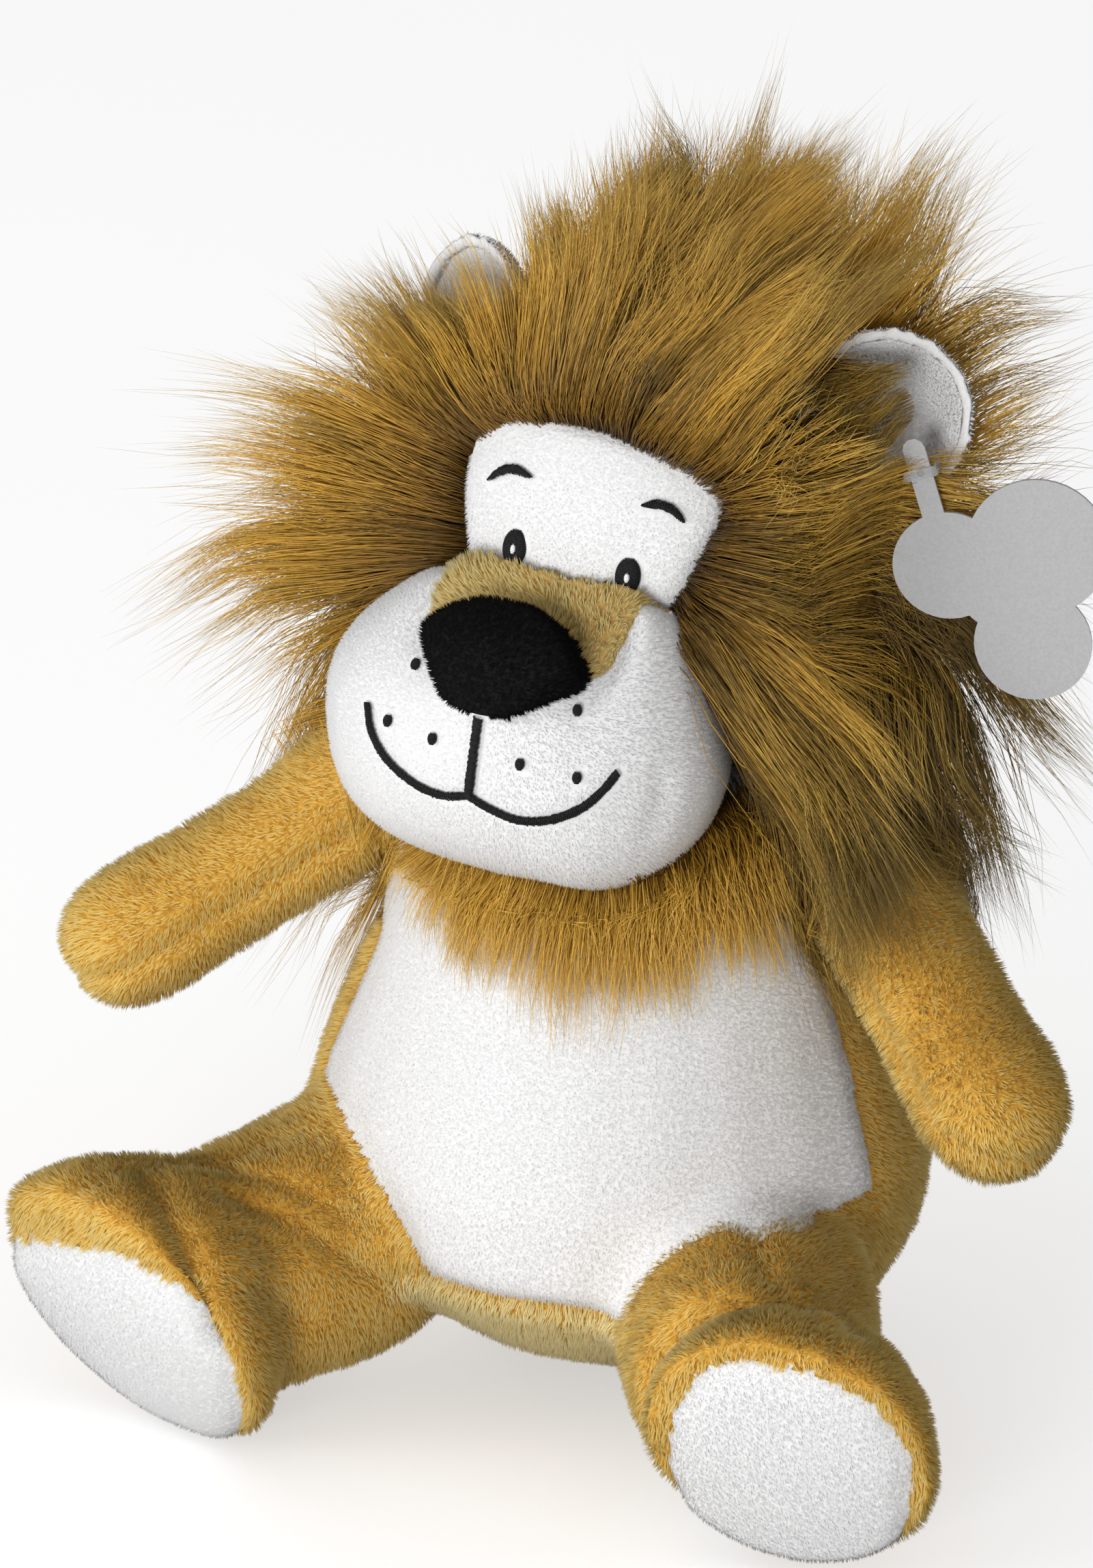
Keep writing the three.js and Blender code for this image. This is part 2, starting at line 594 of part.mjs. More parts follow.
// Mane: one mass of long hair round the head in three sewn pieces, with its outline in locks
function hairForm() {
  const loops = [];
  for (let k = 1; k < maneRings; k += 1) {
    const polar = Math.PI * (1 - k / maneRings);
    const loop = [];
    for (let j = 0; j < maneSides; j += 1) {
      const angle = (2 * Math.PI * j) / maneSides;
      const x = Math.sin(polar) * Math.cos(angle);
      const y = Math.sin(polar) * Math.sin(angle);
      const z = Math.cos(polar);
      const up = y > 0 ? maneTop : maneBelow;
      const out = z > 0 ? maneFront : maneBack;
      const across = x > 0 ? maneLeft : maneRight;
      const spread = 1 / Math.hypot(x / across, y / up, z / out);
      const lock = lockDepth * Math.sin(polar) ** 2 * Math.cos(maneLocks * (angle + lockTwistShare * z));
      const size = spread + lock;
      loop.push([x * size, y * size, z * size]);
    }
    loops.push(loop);
  }
  const form = ringSkin(loops, [0, 0, -maneBack], [0, 0, maneFront]);
  return moved(moved(form, new THREE.Matrix4().makeRotationX(Math.PI / 2)), shift(0, maneSet, maneHeight));
}

function addMane() {
  const ears = sideNames.map((name) => ear(side[name], -earThickness - seamGap, earWindow, seamGap));
  const inside = headForm(-pileThickness, innerSides, innerRings);
  const inTheWay = [inside, faceRegion(seamGap / 2), muzzleForm(seamGap), tagSpace(), ...ears];
  const hair = hairForm().subtract(wasm.Manifold.union(inTheWay));
  const kept = posed(hair).intersect(overNeck(maneLift));
  const rear = moved(behind(maneBackSeam), headPose);
  const front = moved(before(maneBackSeam - seamGap), headPose);
  add('mane_back', kept.intersect(rear), maneFur);
  add('mane_left', kept.intersect(front).intersect(moved(leftOf(seamGap / 2), headPose)), maneFur);
  add('mane_right', kept.intersect(front).intersect(moved(rightOf(-seamGap / 2), headPose)), maneFur);
}

// Beard: locks that hang from under the muzzle over the chest
function addBeard() {
  const outline = new THREE.Shape(beardShares.map(([across, down]) => new THREE.Vector2(
    across * beardHalfWidth, neckHeight - down * beardDrop,
  )));
  const prism = solid(new THREE.ExtrudeGeometry(outline, { depth: reach, bevelEnabled: false }));
  const upright = moved(prism, new THREE.Matrix4().makeRotationX(Math.PI / 2));
  const hug = torsoForm(chestGap + beardThickness, beardSides, innerRings).subtract(torsoForm(chestGap));
  const clearOfHead = posed(muzzleForm(seamGap).add(headForm(seamGap)));
  const locks = posed(upright).intersect(hug).intersect(before(-beardRoot))
    .intersect(below(neckHeight + maneLift - seamGap));
  add('beard', locks.subtract(clearOfHead), maneFur);
}

// Tail with a tuft of long hair at its end
function addTail() {
  const fall = degrees(tailFall);
  const along = tailOutwards.clone().multiplyScalar(Math.cos(fall)).setZ(-Math.sin(fall));
  const clear = torsoAsSeenBy(tailPivot, upwards, [-tailSwing, 0, tailSwing], seamGap);
  const rod = (gap) => moved(stuffedForm(
    tailShares, tailLength + tailInTuft + gap, tailRadius + gap, tailRadius + gap, innerSides, innerRings,
  ), pointing(along, tailPivot));
  const placed = rod(0).subtract(clear).add(ballAt(tailPivot, tailBall));
  const tuftStart = tailPivot.clone().addScaledVector(along, tailLength);
  const tuftForm = stuffedForm(tuftShares, tuftLength, tuftRadius, tuftRadius, innerSides, innerRings);
  const tuft = moved(tuftForm, pointing(along, tuftStart)).subtract(rod(seamGap));
  add('tail', placed, goldenPlush);
  add('tail_tuft', tuft, maneFur);
}

// Hang tag: paper with three lobes and a stem, held to the ear by a clear strap
const stemEnd = shift(earOut + tagBesideEar, earBack - tagBeforeEar, earHeight - tagBelowEar);
const tagFrame = stemEnd.multiply(new THREE.Matrix4().makeBasis(
  new THREE.Vector3(Math.cos(degrees(tagTurn)), Math.sin(degrees(tagTurn)), 0),
  new THREE.Vector3(0, 0, 1),
  new THREE.Vector3(Math.sin(degrees(tagTurn)), -Math.cos(degrees(tagTurn)), 0),
));
function disc(x, y, radius, thickness, sides = tagSides) {
  const geometry = new THREE.CylinderGeometry(radius, radius, thickness, sides);
  geometry.rotateX(Math.PI / 2);
  geometry.translate(x, y, 0);
  return solid(geometry);
}
const [lobeAcross, lobeUp] = tagLobeShares[0];
const stemAngle = Math.atan2(-lobeUp, lobeAcross);
function tagSpace() {
  const behindStrap = -strapDepth - strapThickness - seamGap;
  const space = block([-tagNotch, -tagReach, behindStrap], [reach, tagRise, reach]);
  return moved(space, tagFrame);
}
function stemPart(length, width, thickness) {
  const bar = new THREE.BoxGeometry(length, width, thickness);
  bar.translate(length / 2, 0, 0);
  bar.rotateZ(-stemAngle);
  return solid(bar);
}
function addTag() {
  const lobes = tagLobeShares.map((shares) => {
    const [x, y, radius] = shares.map((share) => share * tagSpan);
    return disc(x, y, radius, tagThickness);
  });
  const stem = stemPart(Math.hypot(lobeAcross, lobeUp) * tagSpan, stemWidth, tagThickness);
  const end = disc(0, 0, stemWidth / 2, tagThickness, innerSides);
  const slotX = slotAlong * Math.cos(stemAngle);
  const slotY = -slotAlong * Math.sin(stemAngle);
  const slot = disc(slotX, slotY, slotRadius, overrun, innerRings);
  const card = wasm.Manifold.union([...lobes, stem, end]).subtract(slot);
  add('hang_tag', posed(moved(card, tagFrame)), greyPaper);
  const strap = new THREE.Shape();
  const inner = stemWidth / 2 + strapGap;
  const outer = inner + strapThickness;
  const deep = strapDepth;
  strap.moveTo(-outer, strapThickness + strapGap);
  strap.lineTo(-outer, -deep - strapThickness);
  strap.lineTo(outer, -deep - strapThickness);
  strap.lineTo(outer, strapThickness + strapGap);
  strap.closePath();
  const hole = new THREE.Path();
  hole.moveTo(-inner, strapGap);
  hole.lineTo(inner, strapGap);
  hole.lineTo(inner, -deep);
  hole.lineTo(-inner, -deep);
  hole.closePath();
  strap.holes.push(hole);
  const band = new THREE.ExtrudeGeometry(strap, { depth: strapWidth, bevelEnabled: false });
  band.translate(0, 0, -strapWidth / 2);
  band.rotateX(Math.PI / 2);
  band.rotateZ(Math.PI / 2 - stemAngle);
  band.translate(slotX, slotY, 0);
  add('tag_strap', posed(moved(solid(band), tagFrame)), clearPlastic);
}

addTorso();
sideNames.forEach(addArm);
sideNames.forEach(addLeg);
addHead();
addMuzzle();
sideNames.forEach(addEar);
addMane();
addBeard();
addTail();
addTag();

export default lion;
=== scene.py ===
"""Seated plush lion: sewn panels with short pile, a long-haired mane, embroidered face and a hang tag."""

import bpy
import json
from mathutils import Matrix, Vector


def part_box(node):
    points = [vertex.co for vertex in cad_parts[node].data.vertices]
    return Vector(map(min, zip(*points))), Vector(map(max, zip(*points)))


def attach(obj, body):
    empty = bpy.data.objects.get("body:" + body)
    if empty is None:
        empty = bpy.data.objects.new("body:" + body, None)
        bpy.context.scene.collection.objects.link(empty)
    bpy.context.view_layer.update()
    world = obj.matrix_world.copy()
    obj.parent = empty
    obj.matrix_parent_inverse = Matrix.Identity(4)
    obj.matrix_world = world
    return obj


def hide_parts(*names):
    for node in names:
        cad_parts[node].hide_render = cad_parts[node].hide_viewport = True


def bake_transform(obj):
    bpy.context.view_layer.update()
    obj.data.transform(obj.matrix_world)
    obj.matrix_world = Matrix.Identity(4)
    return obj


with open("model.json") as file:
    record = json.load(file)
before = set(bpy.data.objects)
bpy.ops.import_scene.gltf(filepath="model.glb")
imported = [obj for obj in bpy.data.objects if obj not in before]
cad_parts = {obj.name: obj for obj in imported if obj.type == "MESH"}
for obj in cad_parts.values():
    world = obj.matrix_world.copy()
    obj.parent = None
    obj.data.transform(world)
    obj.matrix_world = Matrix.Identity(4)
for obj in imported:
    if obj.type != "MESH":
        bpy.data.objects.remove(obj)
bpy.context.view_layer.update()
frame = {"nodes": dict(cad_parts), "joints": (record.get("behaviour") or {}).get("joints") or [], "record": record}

import json
import math

import bpy
import numpy as np
from mathutils import Matrix, Vector
from mathutils.bvhtree import BVHTree
from mathutils.kdtree import KDTree

mm = 0.001
down = np.array([0.0, 0.0, -1.0])
third_turns = (0, 2 * math.pi / 3, 4 * math.pi / 3)

strand_share = 1.0
strand_width = strand_share ** -0.4

# Camera: the photograph's view of the lion
photo_width = 1601
photo_height = 2296
azimuth = math.radians(22.6)
elevation = math.radians(20.6)
roll = math.radians(2.5)
target = np.array([-30.8, 28, 112]) * mm
distance = 2000 * mm
focal_px = 14306
sensor_size = 36                # mm
clip_range = (0.1, 20)


def camera_axes():
    """The camera's right, up and back directions."""
    back = np.array([math.sin(azimuth) * math.cos(elevation), -math.cos(azimuth) * math.cos(elevation),
                     math.sin(elevation)])
    right = np.array([math.cos(azimuth), math.sin(azimuth), 0])
    up = np.cross(back, right)
    return right * math.cos(roll) + up * math.sin(roll), up * math.cos(roll) - right * math.sin(roll), back


cam_right, cam_up, cam_back = camera_axes()
cam_place = target + cam_back * distance


def add_camera():
    data = bpy.data.cameras.new("camera")
    data.sensor_width = sensor_size
    data.lens = focal_px * sensor_size / photo_height
    data.clip_start, data.clip_end = clip_range
    camera = bpy.data.objects.new("camera", data)
    matrix = Matrix.Identity(4)
    for i, axis in enumerate((cam_right, cam_up, cam_back, cam_place)):
        for k in range(3):
            matrix[k][i] = axis[k]
    camera.matrix_world = matrix
    bpy.context.scene.collection.objects.link(camera)
    bpy.context.scene.camera = camera


def pixel_ray(x, y):
    """Direction from the camera through a pixel of the photograph."""
    ray = cam_right * (x - photo_width / 2) + cam_up * (photo_height / 2 - y) - cam_back * focal_px
    return ray / np.linalg.norm(ray)


def outline_depth(points, outline):
    """How many pixels inside a convex outline, listed clockwise, each point is seen; below zero outside."""
    offset = points - cam_place
    away = -(offset @ cam_back)
    x = photo_width / 2 + focal_px * (offset @ cam_right) / away
    y = photo_height / 2 - focal_px * (offset @ cam_up) / away
    depth = np.full(len(points), 1e9)
    for (ax, ay), (bx, by) in zip(outline, outline[1:] + outline[:1]):
        side = ((bx - ax) * (y - ay) - (by - ay) * (x - ax)) / math.hypot(bx - ax, by - ay)
        depth = np.minimum(depth, side)
    return depth


# Small tools on arrays of vectors
wander_cells = 48
wander_start = 1000             # cells, so that no place falls below zero


def unit(v):
    return v / np.maximum(np.linalg.norm(v, axis=-1, keepdims=True), 1e-12)


def dot(a, b):
    return (a * b).sum(-1, keepdims=True)


def tangential(v, normal):
    """The part of v that lies in the surface."""
    return v - normal * dot(v, normal)


def smoothstep(low, high, x):
    t = np.clip((x - low) / (high - low), 0, 1)
    return t * t * (3 - 2 * t)


def wander(points, cell, seed):
    """Smooth random vectors, each part from -1 to 1, that change over about one cell."""
    table = np.random.default_rng(seed).uniform(-1, 1, (wander_cells,) * 3 + (3,))
    place = points / cell + wander_start
    low = np.floor(place).astype(int)
    share = place - low
    share = share * share * (3 - 2 * share)
    result = np.zeros((len(points), 3))
    for corner in np.ndindex(2, 2, 2):
        weight = np.prod(np.where(corner, share, 1 - share), axis=1)
        i, j, k = ((low + corner) % wander_cells).T
        result += table[i, j, k] * weight[:, None]
    return result


def nearest_tree(points):
    """Tree that finds the place in the list of the point nearest to another."""
    tree = KDTree(len(points))
    for i, point in enumerate(points):
        tree.insert(point, i)
    tree.balance()
    return tree


# Skins: closed smooth surfaces worked out from the frame's solids
relax_share = 0.6


def sides_of(quads):
    """Both ends of each side of some faces."""
    return np.concatenate([quads[:, [k, (k + 1) % 4]] for k in range(4)])


class Skin:
    def __init__(self, points, quads):
        self.points = points
        self.quads = quads
        self.refresh()

    def refresh(self):
        corners = self.points[self.quads]
        self.middles = corners.mean(1)
        cross = np.cross(corners[:, 2] - corners[:, 0], corners[:, 3] - corners[:, 1])
        self.areas = np.linalg.norm(cross, axis=1) / 2
        self.face_normals = unit(cross)
        total = np.zeros_like(self.points)
        for k in range(self.quads.shape[1]):
            np.add.at(total, self.quads[:, k], cross)
        self.normals = unit(total)

    def tree(self):
        return BVHTree.FromPolygons(self.points.tolist(), self.quads.tolist())

    def smooth(self, rounds):
        """Relaxes the surface, which takes the facets and hard edges out of it."""
        edges = sides_of(self.quads)
        count = np.bincount(edges.ravel(), minlength=len(self.points))[:, None]
        for _ in range(rounds):
            total = np.zeros_like(self.points)
            np.add.at(total, edges[:, 0], self.points[edges[:, 1]])
            np.add.at(total, edges[:, 1], self.points[edges[:, 0]])
            self.points = self.points + relax_share * (total / count - self.points)
        self.refresh()

    def spread(self, values, rounds):
        """Values of the points, evened out over their neighbours."""
        edges = sides_of(self.quads)
        count = np.bincount(edges.ravel(), minlength=len(self.points))
        for _ in range(rounds):
            total = np.bincount(edges[:, 0], values[edges[:, 1]], len(self.points))
            total += np.bincount(edges[:, 1], values[edges[:, 0]], len(self.points))
            values = total / count
        return values

    def swell(self, distance_out):
        self.points = self.points + self.normals * np.reshape(distance_out, (-1, 1))
        self.refresh()


def mesh_values(items, attribute, width, kind=float):
    """One attribute of a mesh's points, faces or corners, as rows."""
    values = np.zeros(len(items) * width, kind)
    items.foreach_get(attribute, values)
    return values.reshape(-1, width)


def node_mesh(names):
    """Points and triangles of several CAD nodes."""
    points, faces, start = [], [], 0
    for name in names:
        mesh = frame["nodes"][name].data
        mesh.calc_loop_triangles()
        points.append(mesh_values(mesh.vertices, "co", 3))
        faces.append(mesh_values(mesh.loop_triangles, "vertices", 3, int) + start)
        start += len(mesh.vertices)
    return np.concatenate(points), np.concatenate(faces)


def node_tree(names):
    points, faces = node_mesh(names)
    return BVHTree.FromPolygons(points.tolist(), faces.tolist())


def ball_mesh(centre, radius, steps=16):
    """Points and triangles of a ball, as stuffing that fills a seam out."""
    turn = np.arange(2 * steps) * math.pi / steps
    tilt = (np.arange(steps - 1) + 1) * math.pi / steps
    ring = np.stack(np.meshgrid(tilt, turn, indexing="ij"), -1).reshape(-1, 2)
    points = np.stack([np.sin(ring[:, 0]) * np.cos(ring[:, 1]), np.sin(ring[:, 0]) * np.sin(ring[:, 1]),
                       np.cos(ring[:, 0])], 1)
    points = np.concatenate([points, [[0, 0, 1], [0, 0, -1]]]) * radius + centre
    around, rows = 2 * steps, steps - 1
    faces = []
    for j in range(around):
        k = (j + 1) % around
        faces.append((j, k, len(points) - 2))
        for i in range(rows - 1):
            a, b = i * around, (i + 1) * around
            faces += [(a + j, b + j, b + k), (a + j, b + k, a + k)]
        faces.append((rows * around - around + k, rows * around - around + j, len(points) - 1))
    return points, np.array(faces)[:, ::-1]


def fused(names, voxel, rounds, balls=()):
    """One closed skin round several solids, so that the gaps between them close."""
    points, faces = node_mesh(names)
    for centre, radius in balls:
        more, links = ball_mesh(centre, radius)
        faces = np.concatenate([faces, links + len(points)])
        points = np.concatenate([points, more])
    obj = mesh_object("fusing", points, faces)
    remesh = obj.modifiers.new("voxels", "REMESH")
    remesh.mode = "VOXEL"
    remesh.voxel_size = voxel
    depsgraph = bpy.context.evaluated_depsgraph_get()
    mesh = bpy.data.meshes.new_from_object(obj.evaluated_get(depsgraph))
    skin = Skin(mesh_values(mesh.vertices, "co", 3), mesh_values(mesh.polygons, "vertices", 4, int))
    bpy.data.objects.remove(obj)
    bpy.data.meshes.remove(mesh)
    skin.smooth(rounds)
    return skin


def mesh_object(name, points, faces, material=None):
    """Mesh object with faces that all have the same number of corners."""
    sides = faces.shape[1]
    mesh = bpy.data.meshes.new(name)
    mesh.vertices.add(len(points))
    mesh.vertices.foreach_set("co", np.ascontiguousarray(points, np.float32).ravel())
    mesh.loops.add(faces.size)
    mesh.loops.foreach_set("vertex_index", np.ascontiguousarray(faces, np.int32).ravel())
    mesh.polygons.add(len(faces))
    mesh.polygons.foreach_set("loop_start", np.arange(0, faces.size, sides, dtype=np.int32))
    mesh.update(calc_edges=True)
    mesh.validate()
    mesh.shade_smooth()
    if material:
        mesh.materials.append(material)
    obj = bpy.data.objects.new(name, mesh)
    bpy.context.scene.collection.objects.link(obj)
    return obj


def set_uv(obj, uv):
    """UV map from one pair of numbers for each point."""
    mesh = obj.data
    layer = mesh.uv_layers.new(name="OFBake")
    corner = mesh_values(mesh.loops, "vertex_index", 1, int)[:, 0]
    layer.uv.foreach_set("vector", uv[corner].astype(np.float32).ravel())


def set_normals(obj, normals):
    layer = obj.data.attributes.new("custom_normal", "FLOAT_VECTOR", "POINT")
    layer.data.foreach_set("vector", normals.astype(np.float32).ravel())


# Materials
def node_material(name, values):
    """Material with a Principled shader whose inputs have these values."""
    material = bpy.data.materials.new(name)
    material.use_nodes = True
    tree = material.node_tree
    shader = tree.nodes["Principled BSDF"]
    for key, value in values.items():
        shader.inputs[key].default_value = value
    return material, tree, shader


def ramp(tree, source, stops):
    node = tree.nodes.new("ShaderNodeValToRGB")
    elements = node.color_ramp.elements
    while len(elements) < len(stops):
        elements.new(0.5)
    for element, (place, color) in zip(elements, stops):
        element.position = place
        element.color = (*color, 1)
    tree.links.new(source, node.inputs[0])
    return node.outputs[0]


def multiplied(tree, a, b):
    """Product of two colours."""
    node = tree.nodes.new("ShaderNodeMix")
    node.data_type = "RGBA"
    node.blend_type = "MULTIPLY"
    node.inputs[0].default_value = 1
    tree.links.new(a, node.inputs[6])
    tree.links.new(b, node.inputs[7])
    return node.outputs[2]


def strand_material(name, stops, pale, dark, roughness, specular=0.3):
    """Fibres coloured from root to tip, each a little paler or darker than the next; in the mane that tone also
    carries painted shade.
    """
    material, tree, shader = node_material(name, {
        "Roughness": roughness, "Specular IOR Level": specular, "Sheen Weight": 0, "Sheen Roughness": 0.5})
    uv = tree.nodes.new("ShaderNodeUVMap")
    uv.uv_map = "OFBake"
    split = tree.nodes.new("ShaderNodeSeparateXYZ")
    tree.links.new(uv.outputs[0], split.inputs[0])
    along = ramp(tree, split.outputs[1], stops)
    tone = ramp(tree, split.outputs[0], [(0, (dark,) * 3), (0.5, (1, 1, 1)), (1, (pale,) * 3)])
    tree.links.new(multiplied(tree, along, tone), shader.inputs["Base Color"])
    return material


def grainy_material(name, stops, values, *, grain, detail, strength, depth):
    """Material with a fine grain in its colour and its surface."""
    material, tree, shader = node_material(name, values)
    coord = tree.nodes.new("ShaderNodeTexCoord")
    noise = tree.nodes.new("ShaderNodeTexNoise")
    noise.inputs["Scale"].default_value = grain
    noise.inputs["Detail"].default_value = detail
    bump = tree.nodes.new("ShaderNodeBump")
    bump.inputs["Strength"].default_value = strength
    bump.inputs["Distance"].default_value = depth
    tree.links.new(coord.outputs["Object"], noise.inputs["Vector"])
    tree.links.new(ramp(tree, noise.outputs["Fac"], stops), shader.inputs["Base Color"])
    tree.links.new(noise.outputs["Fac"], bump.inputs["Height"])
    tree.links.new(bump.outputs[0], shader.inputs["Normal"])
    return material


def cloth_material(name, deep, mid, grain):
    """Backing cloth between the fibres: mottled colour and a fine knitted bump."""
    return grainy_material(name, [(0.35, deep), (0.65, mid)], {"Roughness": 1, "Specular IOR Level": 0.1},
                           grain=grain, detail=4, strength=0.6, depth=0.6 * mm)


def thread_material(name, color):
    """Twisted embroidery thread."""
    lighter = tuple(0.02 + 1.3 * part for part in color)
    return grainy_material(name, [(0.3, color), (0.75, lighter)],
                           {"Roughness": 0.5, "Specular IOR Level": 0.12},
                           grain=3000, detail=2, strength=0.5, depth=0.1 * mm)


def paper_material():
    """Matt grey card with faint fibres."""
    return grainy_material("tag_card", [(0.3, (0.41, 0.412, 0.418)), (0.7, (0.47, 0.472, 0.48))],
                           {"Roughness": 0.75}, grain=1500, detail=6, strength=0.25, depth=0.05 * mm)


def strap_material():
    """Clear plastic."""
    return node_material("clear_strap", {
        "Base Color": (0.9, 0.92, 0.94, 1), "Roughness": 0.12, "Transmission Weight": 0.8})[0]


golden_cloth = cloth_material("golden_cloth", (0.45, 0.22, 0.03), (0.70, 0.40, 0.07), 900)
white_cloth = cloth_material("white_cloth", (0.82, 0.82, 0.82), (0.88, 0.88, 0.88), 900)
beige_cloth = cloth_material("beige_cloth", (0.38, 0.23, 0.07), (0.56, 0.38, 0.14), 900)
black_cloth = cloth_material("black_cloth", (0.004, 0.004, 0.005), (0.012, 0.012, 0.013), 900)
# The scalp cloth is dark partly as painted shade: swelled into the mane, it shows as the dark depth between the
# locks
scalp_cloth = cloth_material("scalp_cloth", (0.05, 0.024, 0.004), (0.12, 0.06, 0.01), 600)
filling = cloth_material("filling", (0.8, 0.8, 0.77), (0.93, 0.93, 0.9), 250)

# Fibres: colours from root to tip, then the palest and the darkest fibre's share of them, and the roughness
golden_pile = strand_material("golden_pile", [
    (0, (0.66, 0.36, 0.05)), (0.5, (0.84, 0.56, 0.13)), (1, (0.93, 0.76, 0.36))], 1.06, 0.72, 0.9)
pale_pile = strand_material("pale_pile", [
    (0, (0.74, 0.48, 0.13)), (0.5, (0.90, 0.72, 0.30)), (1, (0.96, 0.86, 0.55))], 1.03, 0.8, 0.9)
white_pile = strand_material("white_pile", [
    (0, (0.84, 0.84, 0.84)), (1, (0.88, 0.88, 0.885))], 1.02, 0.97, 0.9, specular=0.1)
beige_pile = strand_material("beige_pile", [
    (0, (0.50, 0.34, 0.09)), (0.5, (0.70, 0.53, 0.19)), (1, (0.86, 0.75, 0.40))], 1.08, 0.8, 0.9)
black_pile = strand_material("black_pile", [
    (0, (0.002, 0.002, 0.002)), (1, (0.008, 0.008, 0.008))], 1.5, 0.6, 0.8, specular=0.06)
# The mane hair's dark roots and its darkest tone stand partly for painted shade between and under the locks
mane_hair = strand_material("mane_hair", [
    (0, (0.08, 0.036, 0.003)), (0.28, (0.36, 0.18, 0.018)), (0.68, (0.76, 0.45, 0.062)),
    (1, (0.90, 0.63, 0.17))], 1.15, 0.2, 0.42, specular=0.45)
black_thread = thread_material("black_thread", (0.008, 0.008, 0.009))
white_thread = thread_material("white_thread", (0.8, 0.8, 0.8))


# Panels: a skin split along its seams, each panel given thickness
far = 1.0                       # metres, further than anything on the lion
line_steps = 20                 # places on a smooth line for each of its points


def panel_of(skin, names, within):
    """For each face, the place in names of the CAD panel that it lies on, or the number of names for none."""
    trees = [node_tree([name]) for name in names]
    found = np.zeros(len(skin.middles), int)
    for i, middle in enumerate(skin.middles.tolist()):
        gaps = [tree.find_nearest(middle)[3] for tree in trees]
        found[i] = gaps.index(min(gaps)) if min(gaps) < within else len(names)
    return found


def seam_distance(skin, region):
    """Each point's distance from the nearest seam between two regions."""
    low = np.full(len(skin.points), int(region.max()))
    high = np.full(len(skin.points), int(region.min()))
    for k in range(4):
        np.minimum.at(low, skin.quads[:, k], region)
        np.maximum.at(high, skin.quads[:, k], region)
    on_seam = np.flatnonzero(low != high)
    if not len(on_seam):
        return np.full(len(skin.points), far)
    tree = nearest_tree(skin.points[on_seam])
    return np.array([tree.find(point)[2] for point in skin.points.tolist()])


def line_distance(points, line):
    """Each point's distance from a line through several places."""
    line = np.asarray(line)
    best = np.full(len(points), far)
    for a, b in zip(line[:-1], line[1:]):
        share = np.clip(((points - a) @ (b - a)) / ((b - a) @ (b - a)), 0, 1)
        best = np.minimum(best, np.linalg.norm(points - a - share[:, None] * (b - a), axis=1))
    return best


def compact(points, normals, faces):
    """Only the points that the faces use."""
    used, index = np.unique(faces, return_inverse=True)
    return points[used], normals[used], index.reshape(faces.shape)


def thick_panel(name, skin, mask, thickness, material):
    """Closed sheet under some of a skin's faces."""
    points, normals, quads = compact(skin.points, skin.normals, skin.quads[mask])
    count = len(points)
    edges = [tuple(edge) for edge in sides_of(quads).tolist()]
    both = set(edges)
    rim = np.array([(a, b) for a, b in edges if (b, a) not in both], int).reshape(-1, 2)
    walls = np.stack([rim[:, 1], rim[:, 0], rim[:, 0] + count, rim[:, 1] + count], 1)
    faces = np.concatenate([quads, quads[:, ::-1] + count, walls])
    return mesh_object(name, np.concatenate([points, points - normals * thickness]), faces, material)


exposed_lift = 1.2 * mm         # where a look outwards starts over its own skin


def exposed(skin, blockers, limit):
    """True for each face with nothing close in front of it."""
    result = np.ones(len(skin.middles), bool)
    starts = skin.middles + skin.face_normals * exposed_lift
    for i, (start, normal) in enumerate(zip(starts.tolist(), skin.face_normals.tolist())):
        if any(tree.ray_cast(start, normal, limit)[0] is not None for tree in blockers):
            result[i] = False
    return result


def scatter(skin, faces, density, rng):
    """Random places and normals on some faces, by a density in each square millimetre."""
    wanted = skin.areas[faces] / mm ** 2 * density * strand_share
    face = np.repeat(faces, np.floor(wanted + rng.random(len(faces))).astype(int))
    a, b = rng.random((2, len(face), 1))
    weights = ((1 - a) * (1 - b), a * (1 - b), a * b, (1 - a) * b)
    corners = skin.quads[face]
    root = sum(skin.points[corners[:, k]] * w for k, w in enumerate(weights))
    normal = unit(sum(skin.normals[corners[:, k]] * w for k, w in enumerate(weights)))
    return root, normal, face


def smooth_line(points, count):
    """Places evenly spread along a smooth curve through the points."""
    points = np.asarray(points, float)
    ends = np.concatenate([[2 * points[0] - points[1]], points, [2 * points[-1] - points[-2]]])
    fine = []
    for a, b, c, d in zip(ends, ends[1:], ends[2:], ends[3:]):
        for t in np.arange(line_steps) / line_steps:
            fine.append(0.5 * (2 * b + (c - a) * t + (2 * a - 5 * b + 4 * c - d) * t ** 2
                               + (3 * b - a - 3 * c + d) * t ** 3))
    fine = np.array(fine + [points[-1]])
    length = np.concatenate([[0], np.cumsum(np.linalg.norm(np.diff(fine, axis=0), axis=1))])
    wanted = np.linspace(0, length[-1], count)
    return np.stack([np.interp(wanted, length, fine[:, k]) for k in range(fine.shape[1])], 1)


def on_skin(tree, pixels):
    """Places and normals where the camera's rays through pixels meet a skin."""
    hits = [tree.ray_cast(cam_place.tolist(), pixel_ray(x, y).tolist()) for x, y in pixels]
    hits = [hit for hit in hits if hit[0] is not None]
    return np.array([hit[0] for hit in hits]), np.array([hit[1] for hit in hits])


def stitched_over(points, radius):
    """True where embroidery covers the cloth, so that no pile grows there."""
    covered = np.zeros(len(points), bool)
    for line, half in stitch_lines:
        near = np.linalg.norm(points - line.mean(0), axis=1) < np.ptp(line, axis=0).max() + 5 * mm
        if near.any():
            covered[near] |= line_distance(points[near], line) < half + radius
    return covered


# Short pile: tapered tufts of fibre, closed at the root
clump_size = 5                  # tufts
tuft_root = 0.35 * mm           # below the cloth
tuft_flatness = 0.75
tuft_faces = np.array([[0, 1, 3], [1, 2, 3], [2, 0, 3], [0, 2, 1]])
thread_clearance = 0.8 * mm     # from the embroidery
tone_ends = (0.02, 0.98)


